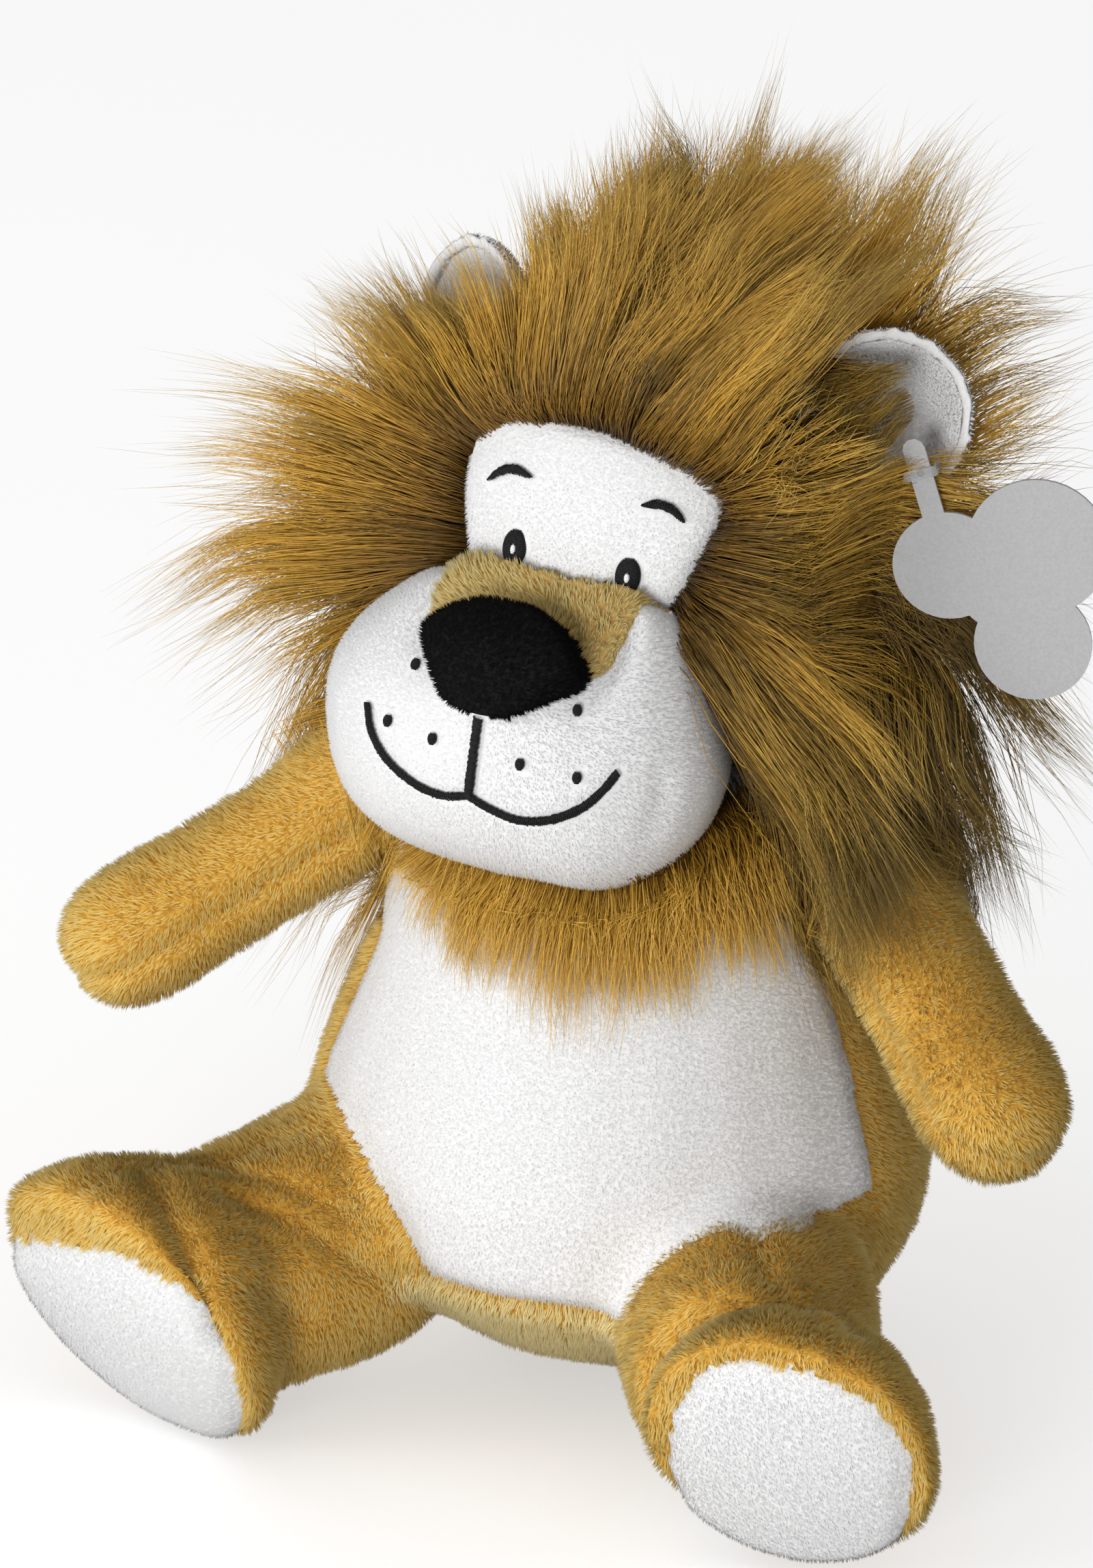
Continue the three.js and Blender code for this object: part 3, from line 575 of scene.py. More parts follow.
def clumped(root, tip, hold, rng):
    """Tips drawn together into small clumps."""
    picked = rng.choice(len(root), max(len(root) // clump_size, 1), replace=False)
    tree = nearest_tree(root[picked])
    lead = picked[[tree.find(point)[1] for point in root.tolist()]]
    return tip + (tip[lead] - tip) * hold


def pile(name, skin, mask, material, look, lay, seed, outline):
    """Tufts combed along lay, over some of a skin's faces and inside an outline of pixels, if it has one."""
    rng = np.random.default_rng(seed)
    root, normal, _ = scatter(skin, np.flatnonzero(mask), look["density"], rng)
    free = ~stitched_over(root, thread_clearance)
    if outline:
        free &= outline_depth(root, outline) > 0
    root, normal = root[free], normal[free]
    total = len(root)
    ruffle, softness = look["ruffle"], look["softness"]

    combed = unit(tangential(lay(root), normal) + 1e-6)
    stray = tangential(wander(root, 2.2 * mm, seed), normal) * ruffle
    stray += tangential(wander(root, 9 * mm, seed + 1), normal) * ruffle * 0.7
    stray += tangential(rng.normal(0, 0.14, (total, 3)), normal)
    heading = unit(normal + combed * look["lean"] + stray)
    lump = wander(root, 3 * mm, seed + 2)[:, :1]
    size = look["length"] * (1 + ruffle * 0.5 * lump + rng.normal(0, 0.08, (total, 1)))
    tip = clumped(root, root + heading * size, look["hold"], rng)

    heading = unit(tip - root)
    side = unit(np.cross(normal, heading) + 1e-6)
    other = unit(np.cross(heading, side))
    half = look["width"] * strand_width / 2 * rng.uniform(0.8, 1.25, (total, 1))
    base = root - normal * tuft_root
    ring = [base + side * half * math.cos(t) + other * half * tuft_flatness * math.sin(t)
            for t in third_turns]
    points = np.stack([*ring, tip], 1).reshape(-1, 3)
    faces = (tuft_faces[None] + (np.arange(total) * 4)[:, None, None]).reshape(-1, 3)
    obj = mesh_object(name, points, faces, material)
    outward = [unit(normal * softness + (corner - base) / half * (1 - softness)) for corner in ring]
    outward.append(unit(normal * softness + heading * (1 - softness)))
    set_normals(obj, np.stack(outward, 1).reshape(-1, 3))

    tone = 0.5 + 0.2 * wander(root, 14 * mm, seed + 3)[:, 0] + 0.15 * lump[:, 0] + rng.normal(0, 0.08, total)
    along = np.array([0.05, 0.05, 0.05, 0.95])
    set_uv(obj, np.stack([np.repeat(np.clip(tone, *tone_ends), 4), np.tile(along, total)], 1))
    return obj


# Long hair: closed three-sided strands along curves
def strands(name, curves, radius, tone, material, seed):
    """Strands along curves, an array of strand, step and place."""
    total, steps = curves.shape[:2]
    rings = steps - 1
    ahead = np.diff(curves, axis=1)
    tangent = unit(np.concatenate([ahead[:, :1], (ahead[:, 1:] + ahead[:, :-1]) / 2], 1))
    rng = np.random.default_rng(seed)
    side = unit(np.cross(tangent, unit(rng.normal(0, 1, (total, 1, 3)))))
    other = np.cross(tangent, side)
    along = np.arange(rings) / rings
    thick = radius[:, None, None] * (0.75 + 0.5 * np.sin(math.pi * along) - 0.55 * along)[None, :, None]
    ring = [curves[:, :rings] + (side * math.cos(t) + other * math.sin(t)) * thick for t in third_turns]
    points = np.stack(ring, 2).reshape(total, rings * 3, 3)
    points = np.concatenate([points, curves[:, -1:]], 1)

    one = [(0, 2, 1)]
    for k in range(rings - 1):
        for j in range(3):
            a, b = 3 * k + j, 3 * k + (j + 1) % 3
            one += [(a, b, b + 3), (a, b + 3, a + 3)]
    last = 3 * (rings - 1)
    one += [(last + j, last + (j + 1) % 3, rings * 3) for j in range(3)]
    each = rings * 3 + 1
    faces = (np.array(one)[None] + (np.arange(total) * each)[:, None, None]).reshape(-1, 3)
    obj = mesh_object(name, points.reshape(-1, 3), faces, material)
    height = 0.02 + 0.96 * np.concatenate([np.repeat(along, 3), [1.0]])
    set_uv(obj, np.stack([np.repeat(np.clip(tone, *tone_ends), each), np.tile(height, total)], 1))
    return obj


# Where things are, from the frame
joints = {joint["name"]: joint for joint in frame["joints"]}
nodes_of = frame["record"]["behaviour"]["bodies"]
side_names = ("left", "right")


def pivot(joint):
    return np.array(joints[joint]["pos_m"])


def middle_of(node):
    low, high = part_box(node)
    return (np.array(low) + np.array(high)) / 2


def ride_like(piece, body, bend):
    """Rides on a body; a piece given a bend stays unattached, with its place baked into its points."""
    if bend is None:
        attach(piece, body)
    else:
        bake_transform(piece)


cloths = {"golden_plush": (golden_cloth, golden_pile), "white_plush": (white_cloth, white_pile),
          "beige_plush": (beige_cloth, beige_pile), "black_plush": (black_cloth, black_pile)}
panel_piles = {"seat_panel": pale_pile}     # a panel whose pile isn't its slot's usual one
slots = {entry["node"]: entry["material_slot"] for entry in frame["record"]["subparts"]}

# Each plush's pile: density in tufts per mm2, hold is how clumped they are, thickness how far they stand up
pile_looks = {
    "golden_plush": {"length": 2.1 * mm, "width": 0.42 * mm, "density": 2.9, "ruffle": 0.42, "hold": 0.4,
                     "softness": 0.75, "lean": 0.6, "thickness": 1.5 * mm},
    "white_plush": {"length": 1.0 * mm, "width": 0.36 * mm, "density": 3.8, "ruffle": 0.06, "hold": 0.0,
                    "softness": 0.99, "lean": 1.1, "thickness": 1.2 * mm},
    "beige_plush": {"length": 2.1 * mm, "width": 0.42 * mm, "density": 3.6, "ruffle": 0.4, "hold": 0.4,
                    "softness": 0.78, "lean": 0.6, "thickness": 1.5 * mm},
    "black_plush": {"length": 1.2 * mm, "width": 0.36 * mm, "density": 4.5, "ruffle": 0.2, "hold": 0.2,
                    "softness": 0.85, "lean": 0.6, "thickness": 1.0 * mm}}
pile_most = 46000               # tufts in one piece
cloth_thickness = 1 * mm
hidden_reach = 5 * mm           # pile that another part covers this closely is left out
seam_depth = 1.8 * mm
seam_width = 2 * mm
groove_rounds = 3               # of evening the grooves out
settle_rounds = 2               # of relaxing the grooved skin
crease_points = 12

parts = {}
shapes = {}
stitch_lines = []


def sewn_part(part, panels, filled_with, body, *, voxel, rounds, lay, seed, bend=None, creases=(), shape=None,
              balls=(), within=far, recut=None):
    """Makes the skin of one stuffed part, with grooves along the seams and soft creases drawn by pixels."""
    skin = fused(panels + filled_with, voxel, rounds, balls)
    region = panel_of(skin, panels, within)
    if shape:
        shape(skin)
        skin.refresh()
        shapes.update({node: shape for node in filled_with})
    if recut:
        recut(skin, region)
    gap = seam_distance(skin, region)
    depth = np.zeros(len(skin.points))
    for k, panel in enumerate(panels):
        touched = np.unique(skin.quads[region == k])
        depth[touched] = np.maximum(depth[touched], pile_looks[slots[panel]]["thickness"])
    groove = seam_depth * np.exp(-(gap / seam_width) ** 2)
    for pixels, width, deep in creases:
        line, _ = on_skin(skin.tree(), smooth_line(pixels, crease_points))
        groove = groove + deep * np.exp(-(line_distance(skin.points, line) / width) ** 2)
    skin.swell(-skin.spread(depth + groove, groove_rounds))
    skin.smooth(settle_rounds)
    parts[part] = {"skin": skin, "region": region, "panels": panels, "body": body, "lay": lay, "bend": bend,
                   "seed": seed}
    return skin


def finish_part(skin, region, panels, body, lay, bend, seed):
    """The pieces of one stuffed part, once all skins are there to hide behind each other."""
    blockers = [other["skin"].tree() for other in parts.values() if other["skin"] is not skin]
    open_face = exposed(skin, blockers, hidden_reach)
    for k, panel in enumerate(panels):
        cloth, fibre = cloths[slots[panel]]
        fibre = panel_piles.get(panel, fibre)
        look = pile_looks[slots[panel]]
        mask = region == k
        sheet = thick_panel(panel + "_cloth", skin, mask, cloth_thickness, cloth)
        outline = face_outline_px if panel == "face_panel" else None
        faces = np.flatnonzero(mask & open_face)
        count = max(1, math.ceil(skin.areas[faces].sum() / mm ** 2 * look["density"] / pile_most))
        order = faces[np.argsort(skin.middles[faces, 2], kind="stable")]
        pieces = [sheet]
        for i, share in enumerate(np.array_split(order, count)):
            chosen = np.zeros(len(mask), bool)
            chosen[share] = True
            pieces.append(pile(f"{panel}_pile_{i + 1}", skin, chosen, fibre, look, lay,
                               seed * 100 + 10 * i + k, outline))
        for piece in pieces:
            ride_like(piece, body, bend)
        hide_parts(panel)


filling_gap = 2.5 * mm          # between the loose fibre and the solid that it stands for
filling_lumps = 0.8 * mm


def add_filling(node, body):
    """Loose fibre inside a stuffed part."""
    skin = fused([node], voxel=3 * mm, rounds=3)
    if node in shapes:
        shapes[node](skin)
        skin.refresh()
    skin.swell(-filling_gap + filling_lumps * wander(skin.points, 5 * mm, 77)[:, 0])
    piece = mesh_object(node + "_fibre", skin.points, skin.quads, filling)
    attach(piece, body)
    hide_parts(node)


def downwards(points):
    return np.broadcast_to(down, points.shape)


def along_limb(heading, fall):
    """Pile that lies along a limb and falls a little."""
    heading = unit(np.asarray(heading))
    return lambda points: np.broadcast_to(heading + fall * down, points.shape)


# Torso: where the photograph shows the belly's edge, and how the seat is drawn up
belly_side_px = [[(300, 1560), (458, 1560), (625, 1895), (300, 1895)],
                 [(380, 1150), (551, 1200), (546, 1363), (458, 1565), (380, 1565)]]
belly_corner_px = [(1205, 1765), (1330, 1765), (1330, 1930), (1205, 1930)]
shoulder_radius = 18 * mm
hip_radius = 28 * mm
seat_rise = 9 * mm


def add_torso():
    panels = ["belly_panel", "back_panel_left", "back_panel_right", "seat_panel"]
    balls = [(pivot(f"arm_{name}_lift"), shoulder_radius) for name in side_names]
    balls += [(pivot(f"leg_{name}_lift"), hip_radius) for name in side_names]

    def tucked(skin):
        """The seat's front edge is drawn up towards the belly."""
        x, y, z = skin.points.T
        share = smoothstep(45 * mm, 20 * mm, np.abs(x)) * smoothstep(48 * mm, 6 * mm, z)
        skin.points[:, 2] += seat_rise * share * smoothstep(-8 * mm, 24 * mm, -y)

    def trimmed_belly(skin, region):
        """The belly ends behind the left leg, and at the right side and hip."""
        front = (region == panels.index("belly_panel")) & (skin.face_normals @ cam_back > -0.3)
        behind_leg = front & (outline_depth(skin.middles, belly_corner_px) > 0)
        region[behind_leg] = panels.index("back_panel_left")
        for outline in belly_side_px:
            region[front & (outline_depth(skin.middles, outline) > 0)] = panels.index("back_panel_right")

    sewn_part("torso", panels, ["torso_stuffing"], "torso", voxel=1.5 * mm, rounds=25, lay=downwards, seed=1,
              balls=balls, shape=tucked, recut=trimmed_belly)


# Arms and legs: what fills each joint out, as a distance from it and a radius, and where its cloth would bend
arm_balls = [(9 * mm, 17 * mm), (18 * mm, 15.5 * mm)]
arm_bend = (2 * mm, 26 * mm)
pile_fall = 0.25
leg_balls = [(8 * mm, 27 * mm), (18 * mm, 26 * mm)]
leg_bend = (-5 * mm, 32 * mm)
leg_fall = 0.9


def add_arms():
    for i, name in enumerate(side_names):
        panels = [f"arm_{name}_upper", f"arm_{name}_lower"]
        root = pivot(f"arm_{name}_lift")
        heading = unit(middle_of(panels[0]) - root)
        balls = [(root + heading * place, radius) for place, radius in arm_balls]
        sewn_part(f"arm_{name}", panels, [f"arm_{name}_stuffing"], f"arm_{name}", voxel=1.3 * mm, rounds=25,
                  lay=along_limb(heading, pile_fall), seed=2 + i,
                  bend=[root + heading * place for place in arm_bend], balls=balls)


def turned(points, place, start, end, share):
    """Points turned about a place, by a share of the turn from one direction to another."""
    axis = np.cross(start, end)
    angle = (math.asin(np.linalg.norm(axis)) * share)[:, None]
    axis = unit(axis)
    offset = points - place
    return (place + offset * np.cos(angle) + np.cross(axis, offset) * np.sin(angle)
            + axis * dot(offset, axis) * (1 - np.cos(angle)))


# Feet: where each sole faces, how far it lies from the frame's sole, how wide it is and how far its top rises
sole_facing = {"left": (0.09, -0.923, -0.369), "right": (-0.288, -0.819, -0.495)}
sole_shift = {"left": np.array([2.5, 1.6, 0.2]) * mm, "right": np.array([3.2, 2.0, -2.6]) * mm}
sole_share = {"left": 1.14, "right": 1.23}
sole_rise = {"left": 1.0 * mm, "right": 4.5 * mm}
frame_sole_fall = 0.23          # how steeply the frame's soles face down
sole_edge = 16 * mm             # over which a foot's top rises
floor_round = 2 * mm            # over which a foot flattens on the floor
floor_press = 1.7 * mm
sole_outline_px = {
    "left": [(1014, 2015), (1090, 1995), (1185, 2019), (1280, 2065), (1337, 2137), (1330, 2330),
             (1100, 2330), (987, 2209), (968, 2148), (976, 2080)],
    "right": [(-40, 1806), (90, 1829), (179, 1848), (250, 1888), (308, 1940), (339, 1998),
              (357, 2103), (340, 2170), (100, 2170), (-40, 2000)]}

# Creases: pixels along each, its width and its depth
leg_creases = {
    "left": [([(955, 2010), (990, 1945), (1060, 1905), (1144, 1893), (1225, 1902), (1262, 1940)],
              4 * mm, 3.5 * mm),
             ([(1294, 1752), (1258, 1820), (1232, 1900)], 2.5 * mm, 2 * mm),
             ([(1222, 1925), (1234, 1960), (1240, 2000)], 2 * mm, 1.5 * mm)],
    "right": [([(232, 1712), (258, 1768), (288, 1830), (312, 1900), (335, 1980)], 4 * mm, 3.5 * mm),
              ([(333, 1744), (422, 1778), (500, 1828), (562, 1862)], 2.2 * mm, 2.2 * mm),
              ([(322, 1700), (389, 1715), (467, 1752), (530, 1800)], 2 * mm, 1.6 * mm),
              ([(300, 1870), (380, 1890), (450, 1930)], 3 * mm, 1.6 * mm)]}
muzzle_creases = [([(968, 1140), (972, 1165), (966, 1195), (952, 1222)], 2.5 * mm, 0.8 * mm),
                  ([(742, 882), (748, 930), (742, 990), (738, 1030)], 5 * mm, 1.0 * mm)]


def add_leg(name, seed):
    panels = [f"leg_{name}_outer", f"leg_{name}_inner", f"sole_{name}"]
    outer_half, inner_half, sole_half = range(3)
    root = pivot(f"leg_{name}_lift")
    sole = middle_of(panels[sole_half])
    heading = unit(sole - root)
    balls = [(root + heading * place, radius) for place, radius in leg_balls]
    facing = np.array(sole_facing[name])

    def footed(skin):
        """Turns the foot the way the sole faces, and widens it."""
        points = skin.points
        share = smoothstep(24 * mm, 50 * mm, (points - root) @ heading)
        straight = unit(heading + down * frame_sole_fall)
        points = turned(points, sole, straight, unit(facing), share)
        offset = points - sole
        flat = offset - dot(offset, unit(facing)) * unit(facing)
        points = points + flat * ((sole_share[name] - 1) * share)[:, None]
        points = points + sole_shift[name] * share[:, None]
        points[:, 2] += sole_rise[name] * share * smoothstep(0, sole_edge, points[:, 2] - sole[2])
        low = points[:, 2] < floor_round
        sunk = 1 - np.exp((points[low, 2] - floor_round) / floor_round)
        points[low, 2] = floor_round - floor_press * sunk
        skin.points = points

    def soled(skin, region):
        """The white sole reaches round the foot's lower edge."""
        toward = skin.face_normals @ facing > 0.15
        inside = toward & (outline_depth(skin.middles, sole_outline_px[name]) > 0)
        outer = (skin.middles[:, 0] - sole[0]) * np.sign(sole[0]) > 0
        beside = np.where(region == sole_half, np.where(outer, outer_half, inner_half), region)
        region[:] = np.where(inside, sole_half, beside)

    sewn_part(f"leg_{name}", panels, [f"leg_{name}_stuffing"], f"leg_{name}", voxel=1.4 * mm, rounds=25,
              lay=along_limb(heading, leg_fall), seed=seed,
              bend=[root + heading * place for place in leg_bend],
              balls=balls, shape=footed, creases=leg_creases[name], recut=soled)


def add_legs():
    for i, name in enumerate(side_names):
        add_leg(name, 4 + i)


def add_head():
    return sewn_part("face", ["face_panel"], ["head_stuffing"], "head", voxel=1.4 * mm, rounds=20,
                     lay=downwards, seed=6, within=4.5 * mm)


# Muzzle: sizes of the bridge, the jaw and the nose beyond the frame's
bridge_rise = (9.5 * mm, 3.6 * mm)      # all along, and more on the lion's left
bridge_half = 35 * mm
jaw_drop = (1.5 * mm, 3 * mm)           # all along, and more on the lion's left
cheek_out = 3 * mm                      # on the lion's right
cheek_corner = 3 * mm
nose_swell = 1.6 * mm
nose_lift = 2.4 * mm
nose_widening = 0.1
nose_aside = 1.4 * mm
beside_share = 0.62                     # the nose is wider than high


def unit_free(offset, across, share):
    """Length of each offset, with only a share of the part that lies across."""
    return np.linalg.norm(offset - dot(offset, across) * across * (1 - share), axis=1)


def add_muzzle():
    panels = ["bridge_panel", "muzzle_panel", "nose_pad"]
    bridge, middle, nose = [middle_of(panel) for panel in panels]
    ahead = unit((nose - middle_of("head_stuffing")) * np.array([1, 1, 0]))
    across = np.cross(ahead, -down)

    def from_nose(points):
        return unit(points - nose)

    def rounded(skin):
        """The bridge rises and the jaw hangs lower, both more on the left. The right cheek is squarer."""
        points = skin.points
        aside = (points - bridge) @ across
        height = points[:, 2]
        near = np.linalg.norm(points - nose, axis=1)

        higher = smoothstep(2 * mm, -24 * mm, aside)
        rise = (bridge_rise[0] + bridge_rise[1] * higher) * np.exp(-((aside + 7 * mm) / bridge_half) ** 4)
        rise = rise * smoothstep(160 * mm - 7 * mm * higher, 178 * mm - 7 * mm * higher, height)
        rise = rise * smoothstep(10 * mm, 23 * mm, unit_free(points - nose, across, beside_share))

        low = smoothstep(middle[2] + 5 * mm, middle[2] - 26 * mm, height)
        left_jaw = smoothstep(0, -18 * mm, aside) * smoothstep(-42 * mm, -30 * mm, aside)
        drop = low * (jaw_drop[0] + jaw_drop[1] * left_jaw)
        out = cheek_out * smoothstep(10 * mm, 38 * mm, aside)
        corner = cheek_corner * smoothstep(8 * mm, 30 * mm, aside)
        corner = corner * smoothstep(middle[2], middle[2] - 20 * mm, height)
        skin.points = points + across * (out + corner)[:, None] - down * (rise - drop - 0.6 * corner)[:, None]
        skin.refresh()

        skin.swell(nose_swell * smoothstep(22 * mm, 8 * mm, near))
        offset = skin.points - nose
        under = smoothstep(0, -11 * mm, offset[:, 2]) * smoothstep(26 * mm, 15 * mm, near)
        along = unit(tangential(-down, skin.normals))
        wide = across * (offset @ across * nose_widening)[:, None]
        skin.points = skin.points + (along * nose_lift + wide) * under[:, None]
        skin.points = skin.points - across * (nose_aside * smoothstep(26 * mm, 10 * mm, near))[:, None]

    def trimmed_bridge(skin, region):
        """The beige bridge ends on a line from the nose's corner to its own."""
        beyond = outline_depth(skin.middles, bridge_outline_px) < 0
        region[(region == panels.index("bridge_panel")) & beyond] = panels.index("muzzle_panel")

    return sewn_part("muzzle", panels, ["muzzle_stuffing"], "head", voxel=1.2 * mm, rounds=16, lay=from_nose,
                     seed=7, shape=rounded, creases=muzzle_creases, recut=trimmed_bridge)


ear_drop = {"left": 0.0, "right": 5 * mm}
ear_hollow = 4.5 * mm


def add_ears():
    for i, name in enumerate(side_names):
        panels = [f"ear_{name}_front", f"ear_{name}_back"]

        def settled(skin, name=name):
            """The ear is hollowed into a cup inside its rim."""
            place, normal, _, radius, _ = ear_disc(name)
            skin.points = skin.points + down * ear_drop[name]
            out = np.linalg.norm(tangential(skin.points - place, normal), axis=1)
            hollow = ear_hollow * smoothstep(0.82 * radius, 0.3 * radius, out)
            skin.points = skin.points - normal * hollow[:, None]

        def outwards(points, centre=middle_of(panels[0])):
            return unit(points - centre)

        sewn_part(f"ear_{name}", panels, [], "head", voxel=1.0 * mm, rounds=12, lay=outwards, seed=9 + i,
                  shape=settled)


def add_tail():
    root = pivot("tail_swing")
    heading = unit(middle_of("tail_tuft") - root)
    sewn_part("tail", ["tail"], [], "tail", voxel=1.0 * mm, rounds=14, lay=along_limb(heading, pile_fall),
              seed=12, bend=(root, root + heading * 14 * mm))


# Embroidery: satin stitch drawn by pixels of the photograph and laid on the skins
mouth_right_px = [(542, 1030), (548, 1070), (570, 1110), (610, 1145), (650, 1162), (688, 1163)]
mouth_left_px = [(688, 1163), (720, 1182), (760, 1198), (805, 1198), (850, 1182), (880, 1158), (903, 1131)]
philtrum_px = [(703, 1046), (696, 1100), (688, 1163)]
brow_right_px = [(721, 703), (735, 692), (756, 688), (781, 700)]
brow_left_px = [(942, 740), (965, 739), (985, 747), (1001, 764)]
dots_px = [(610, 974), (570, 1055), (635, 1081), (845, 1041), (762, 1118), (845, 1138)]
eyes_px = [(756, 801), (920, 843)]
face_outline_px = [(680, 670), (725, 645), (780, 630), (840, 628), (905, 647), (980, 688), (1054, 742),
                   (1042, 776), (1012, 824), (978, 872), (880, 1000), (692, 1100)]
bridge_outline_px = [(500, 600), (1100, 600), (1100, 771), (868, 994), (640, 940), (500, 900)]
muzzle_outline_px = [(560, 890), (640, 830), (760, 812), (880, 840), (975, 893), (1030, 975),
                     (1070, 1060), (1081, 1120), (1062, 1185), (1000, 1250), (890, 1297), (760, 1285),
                     (600, 1232), (520, 1180), (484, 1119), (472, 1060), (500, 965)]
line_width = 1.9 * mm
dot_size = (1.9 * mm, 2.4 * mm)
eye_size = (5.0 * mm, 7.2 * mm)
glint_size = (1.2 * mm, 1.8 * mm)
glint_px = (-1, 2)              # from the eye's middle
glint_lift = 0.4 * mm
thread_pitch = 0.4 * mm
thread_thickness = 1.15 * thread_pitch
thread_steps = 6
thread_arch = 0.45 * mm
thread_lift = 0.8 * mm          # over the cloth
mouth_taper = 0.15
brow_taper = 0.7


def add_threads(name, starts, ends, normals, material):
    """Threads that arch from start to end over the surface."""
    normals = unit(normals)
    share = np.linspace(0, 1, thread_steps)
    arch = np.sin(math.pi * share) ** 0.5 * thread_arch
    curve = starts[:, None] + (ends - starts)[:, None] * share[:, None] + normals[:, None] * arch[:, None]
    half = thread_thickness / 2
    side = unit(np.cross(normals, unit(ends - starts)))[:, None] * half
    top = normals[:, None] * half * 0.9
    points = np.stack([curve + side, curve + top, curve - side, curve - top], 2).reshape(-1, 3)
    one = [(0, 1, 2), (0, 2, 3)]
    for k in range(thread_steps - 1):
        for j in range(4):
            a, b = 4 * k + j, 4 * k + (j + 1) % 4
            one += [(a, a + 4, b + 4), (a, b + 4, b)]
    last = 4 * (thread_steps - 1)
    one += [(last, last + 2, last + 1), (last, last + 3, last + 2)]
    first = (np.arange(len(starts)) * thread_steps * 4)[:, None, None]
    piece = mesh_object(name, points, (np.array(one)[None] + first).reshape(-1, 3), material)
    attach(piece, "head")


def satin_line(name, tree, pixels, taper):
    """Line of satin stitch: short black threads laid across it."""
    rough, _ = on_skin(tree, smooth_line(pixels, crease_points))
    length = np.linalg.norm(np.diff(rough, axis=0), axis=1).sum()
    count = max(int(length / thread_pitch), 4)
    places, normals = on_skin(tree, smooth_line(pixels, count))
    for _ in range(3):
        normals[1:-1] = unit(normals[:-2] + normals[1:-1] * 2 + normals[2:])
    ahead = unit(np.gradient(places, axis=0))
    across = unit(np.cross(normals, ahead))
    share = np.linspace(0, 1, count)[:, None]
    rng = np.random.default_rng(count)
    half = line_width / 2 * (1 - taper * np.abs(2 * share - 1) ** 3)
    half = half * rng.uniform(0.9, 1.08, (count, 1)) * rng.uniform(0.86, 1.1, (count, 1))
    middle = places + normals * thread_lift
    slant = ahead * line_width * 0.12
    stitch_lines.append((places, line_width / 2))
    add_threads(name, middle - across * half - slant, middle + across * half + slant, normals, black_thread)


def satin_oval(name, tree, pixel, size, lift, material):
    """Oval filled with threads laid from side to side."""
    width, height = size
    place, normal = on_skin(tree, [pixel])
    place, normal = place[0], unit(normal[0] + cam_back)
    up = unit(tangential(np.array([0, 0, 1.0]) + 0.05 * cam_right, normal))
    right = np.cross(up, normal)
    rows = np.arange(-height / 2 + thread_pitch / 2, height / 2, thread_pitch * 0.8)
    half = width / 2 * np.sqrt(np.clip(1 - (2 * rows / height) ** 2, 0.02, 1))
    middle = place + normal * lift + up * rows[:, None]
    normals = np.broadcast_to(normal, middle.shape)
    stitch_lines.append((np.array([place - up * height * 0.3, place + up * height * 0.3]), width / 2))
    add_threads(name, middle - right * half[:, None], middle + right * half[:, None], normals, material)


def add_embroidery(face, muzzle):
    face_tree, muzzle_tree = face.tree(), muzzle.tree()
    satin_line("mouth_right", muzzle_tree, mouth_right_px, mouth_taper)
    satin_line("mouth_left", muzzle_tree, mouth_left_px, mouth_taper)
    satin_line("philtrum", muzzle_tree, philtrum_px, 0)
    satin_line("brow_right", face_tree, brow_right_px, brow_taper)
    satin_line("brow_left", face_tree, brow_left_px, brow_taper)
    for i, pixel in enumerate(dots_px):
        satin_oval(f"whisker_dot_{i + 1}", muzzle_tree, pixel, dot_size, thread_lift, black_thread)
    for name, (x, y) in zip(("right", "left"), eyes_px):
        glint = (x + glint_px[0], y + glint_px[1])
        satin_oval(f"eye_{name}", face_tree, (x, y), eye_size, thread_lift, black_thread)
        satin_oval(f"eye_{name}_glint", face_tree, glint, glint_size, thread_lift + glint_lift, white_thread)


# Mane: long hair in locks, from a scalp on the head out to a reach that differs by direction
mane_nodes = ("mane_back", "mane_left", "mane_right")
hair_steps = 6
hair_radius = 0.12 * mm
hair_most = 4800                # strands in one piece
head_centre = middle_of("head_stuffing")
head_front = unit((middle_of("nose_pad") - head_centre) * np.array([1, 1, 0]))

# Hairs in each square millimetre, away from the face and at its edge
hair_density = {"mane_back": (0.8, 1.4), "mane_left": (1.4, 4.2), "mane_right": (1.3, 4.2)}

# How far hair reaches from the middle of the head, down and up each axis, and its share by direction as seen
hair_reach = np.array([[114, 70, 72], [92, 66, 96]]) * mm
reach_turns = np.radians([-180, -160, -145, -120, -90, 0, 25, 50, 72, 86, 100, 123, 144, 156, 177, 180])
reach_shares = np.array([0.99, 1.15, 1.32, 1.32, 1.05, 1.03, 1.07, 1.08, 0.94, 0.87, 0.78, 0.66, 0.72, 0.85,
                         0.99, 0.99])
hair_limits = ((0, -1, 117 * mm), (1, 1, 121 * mm), (2, 1, 282 * mm))   # axis, way and distance
limit_softness = 8 * mm

dark_fill_share = 0.2           # of the room between the head and the hair's ends that the dark scalp cloth fills, partly as painted shade deep in the mane
dark_fill_at_tag = (30 * mm, 3 * mm)
lock_area = 66                  # mm2 of scalp for each lock
tuft_area = 8                   # mm2 of scalp for each tuft in a lock
under_share = 0.22              # hair that stays short beneath the locks, darkened there as painted shade
wisp_share = 0.13               # single hairs that stand out of them
hair_droop = (3 * mm, 30 * mm)  # everywhere, and more on the low sides
painted_shade_depth = 0.6               # how much painted shade darkens the hair under the left ear
ear_gap = (0.2, 0.0)            # radians that the hair leaves free above and below the left ear
ear_fan = 0.9                   # radians over which it closes again
# Where an ear's bare part starts from its middle, in radii, and how far it leans to the lion's right
ear_bare = {"left": (0.1, -1.0), "right": (0.6, 0)}
stray_share = 0.004             # hair that hangs before the face all the same
gap_share = 0.1                 # hair that stays in the gap under the right arm
arm_gap_px = [(380, 1410), (540, 1325), (560, 1400), (480, 1490), (380, 1490)]
face_overlap_px = {"face_panel": 8, "muzzle_panel": 20}

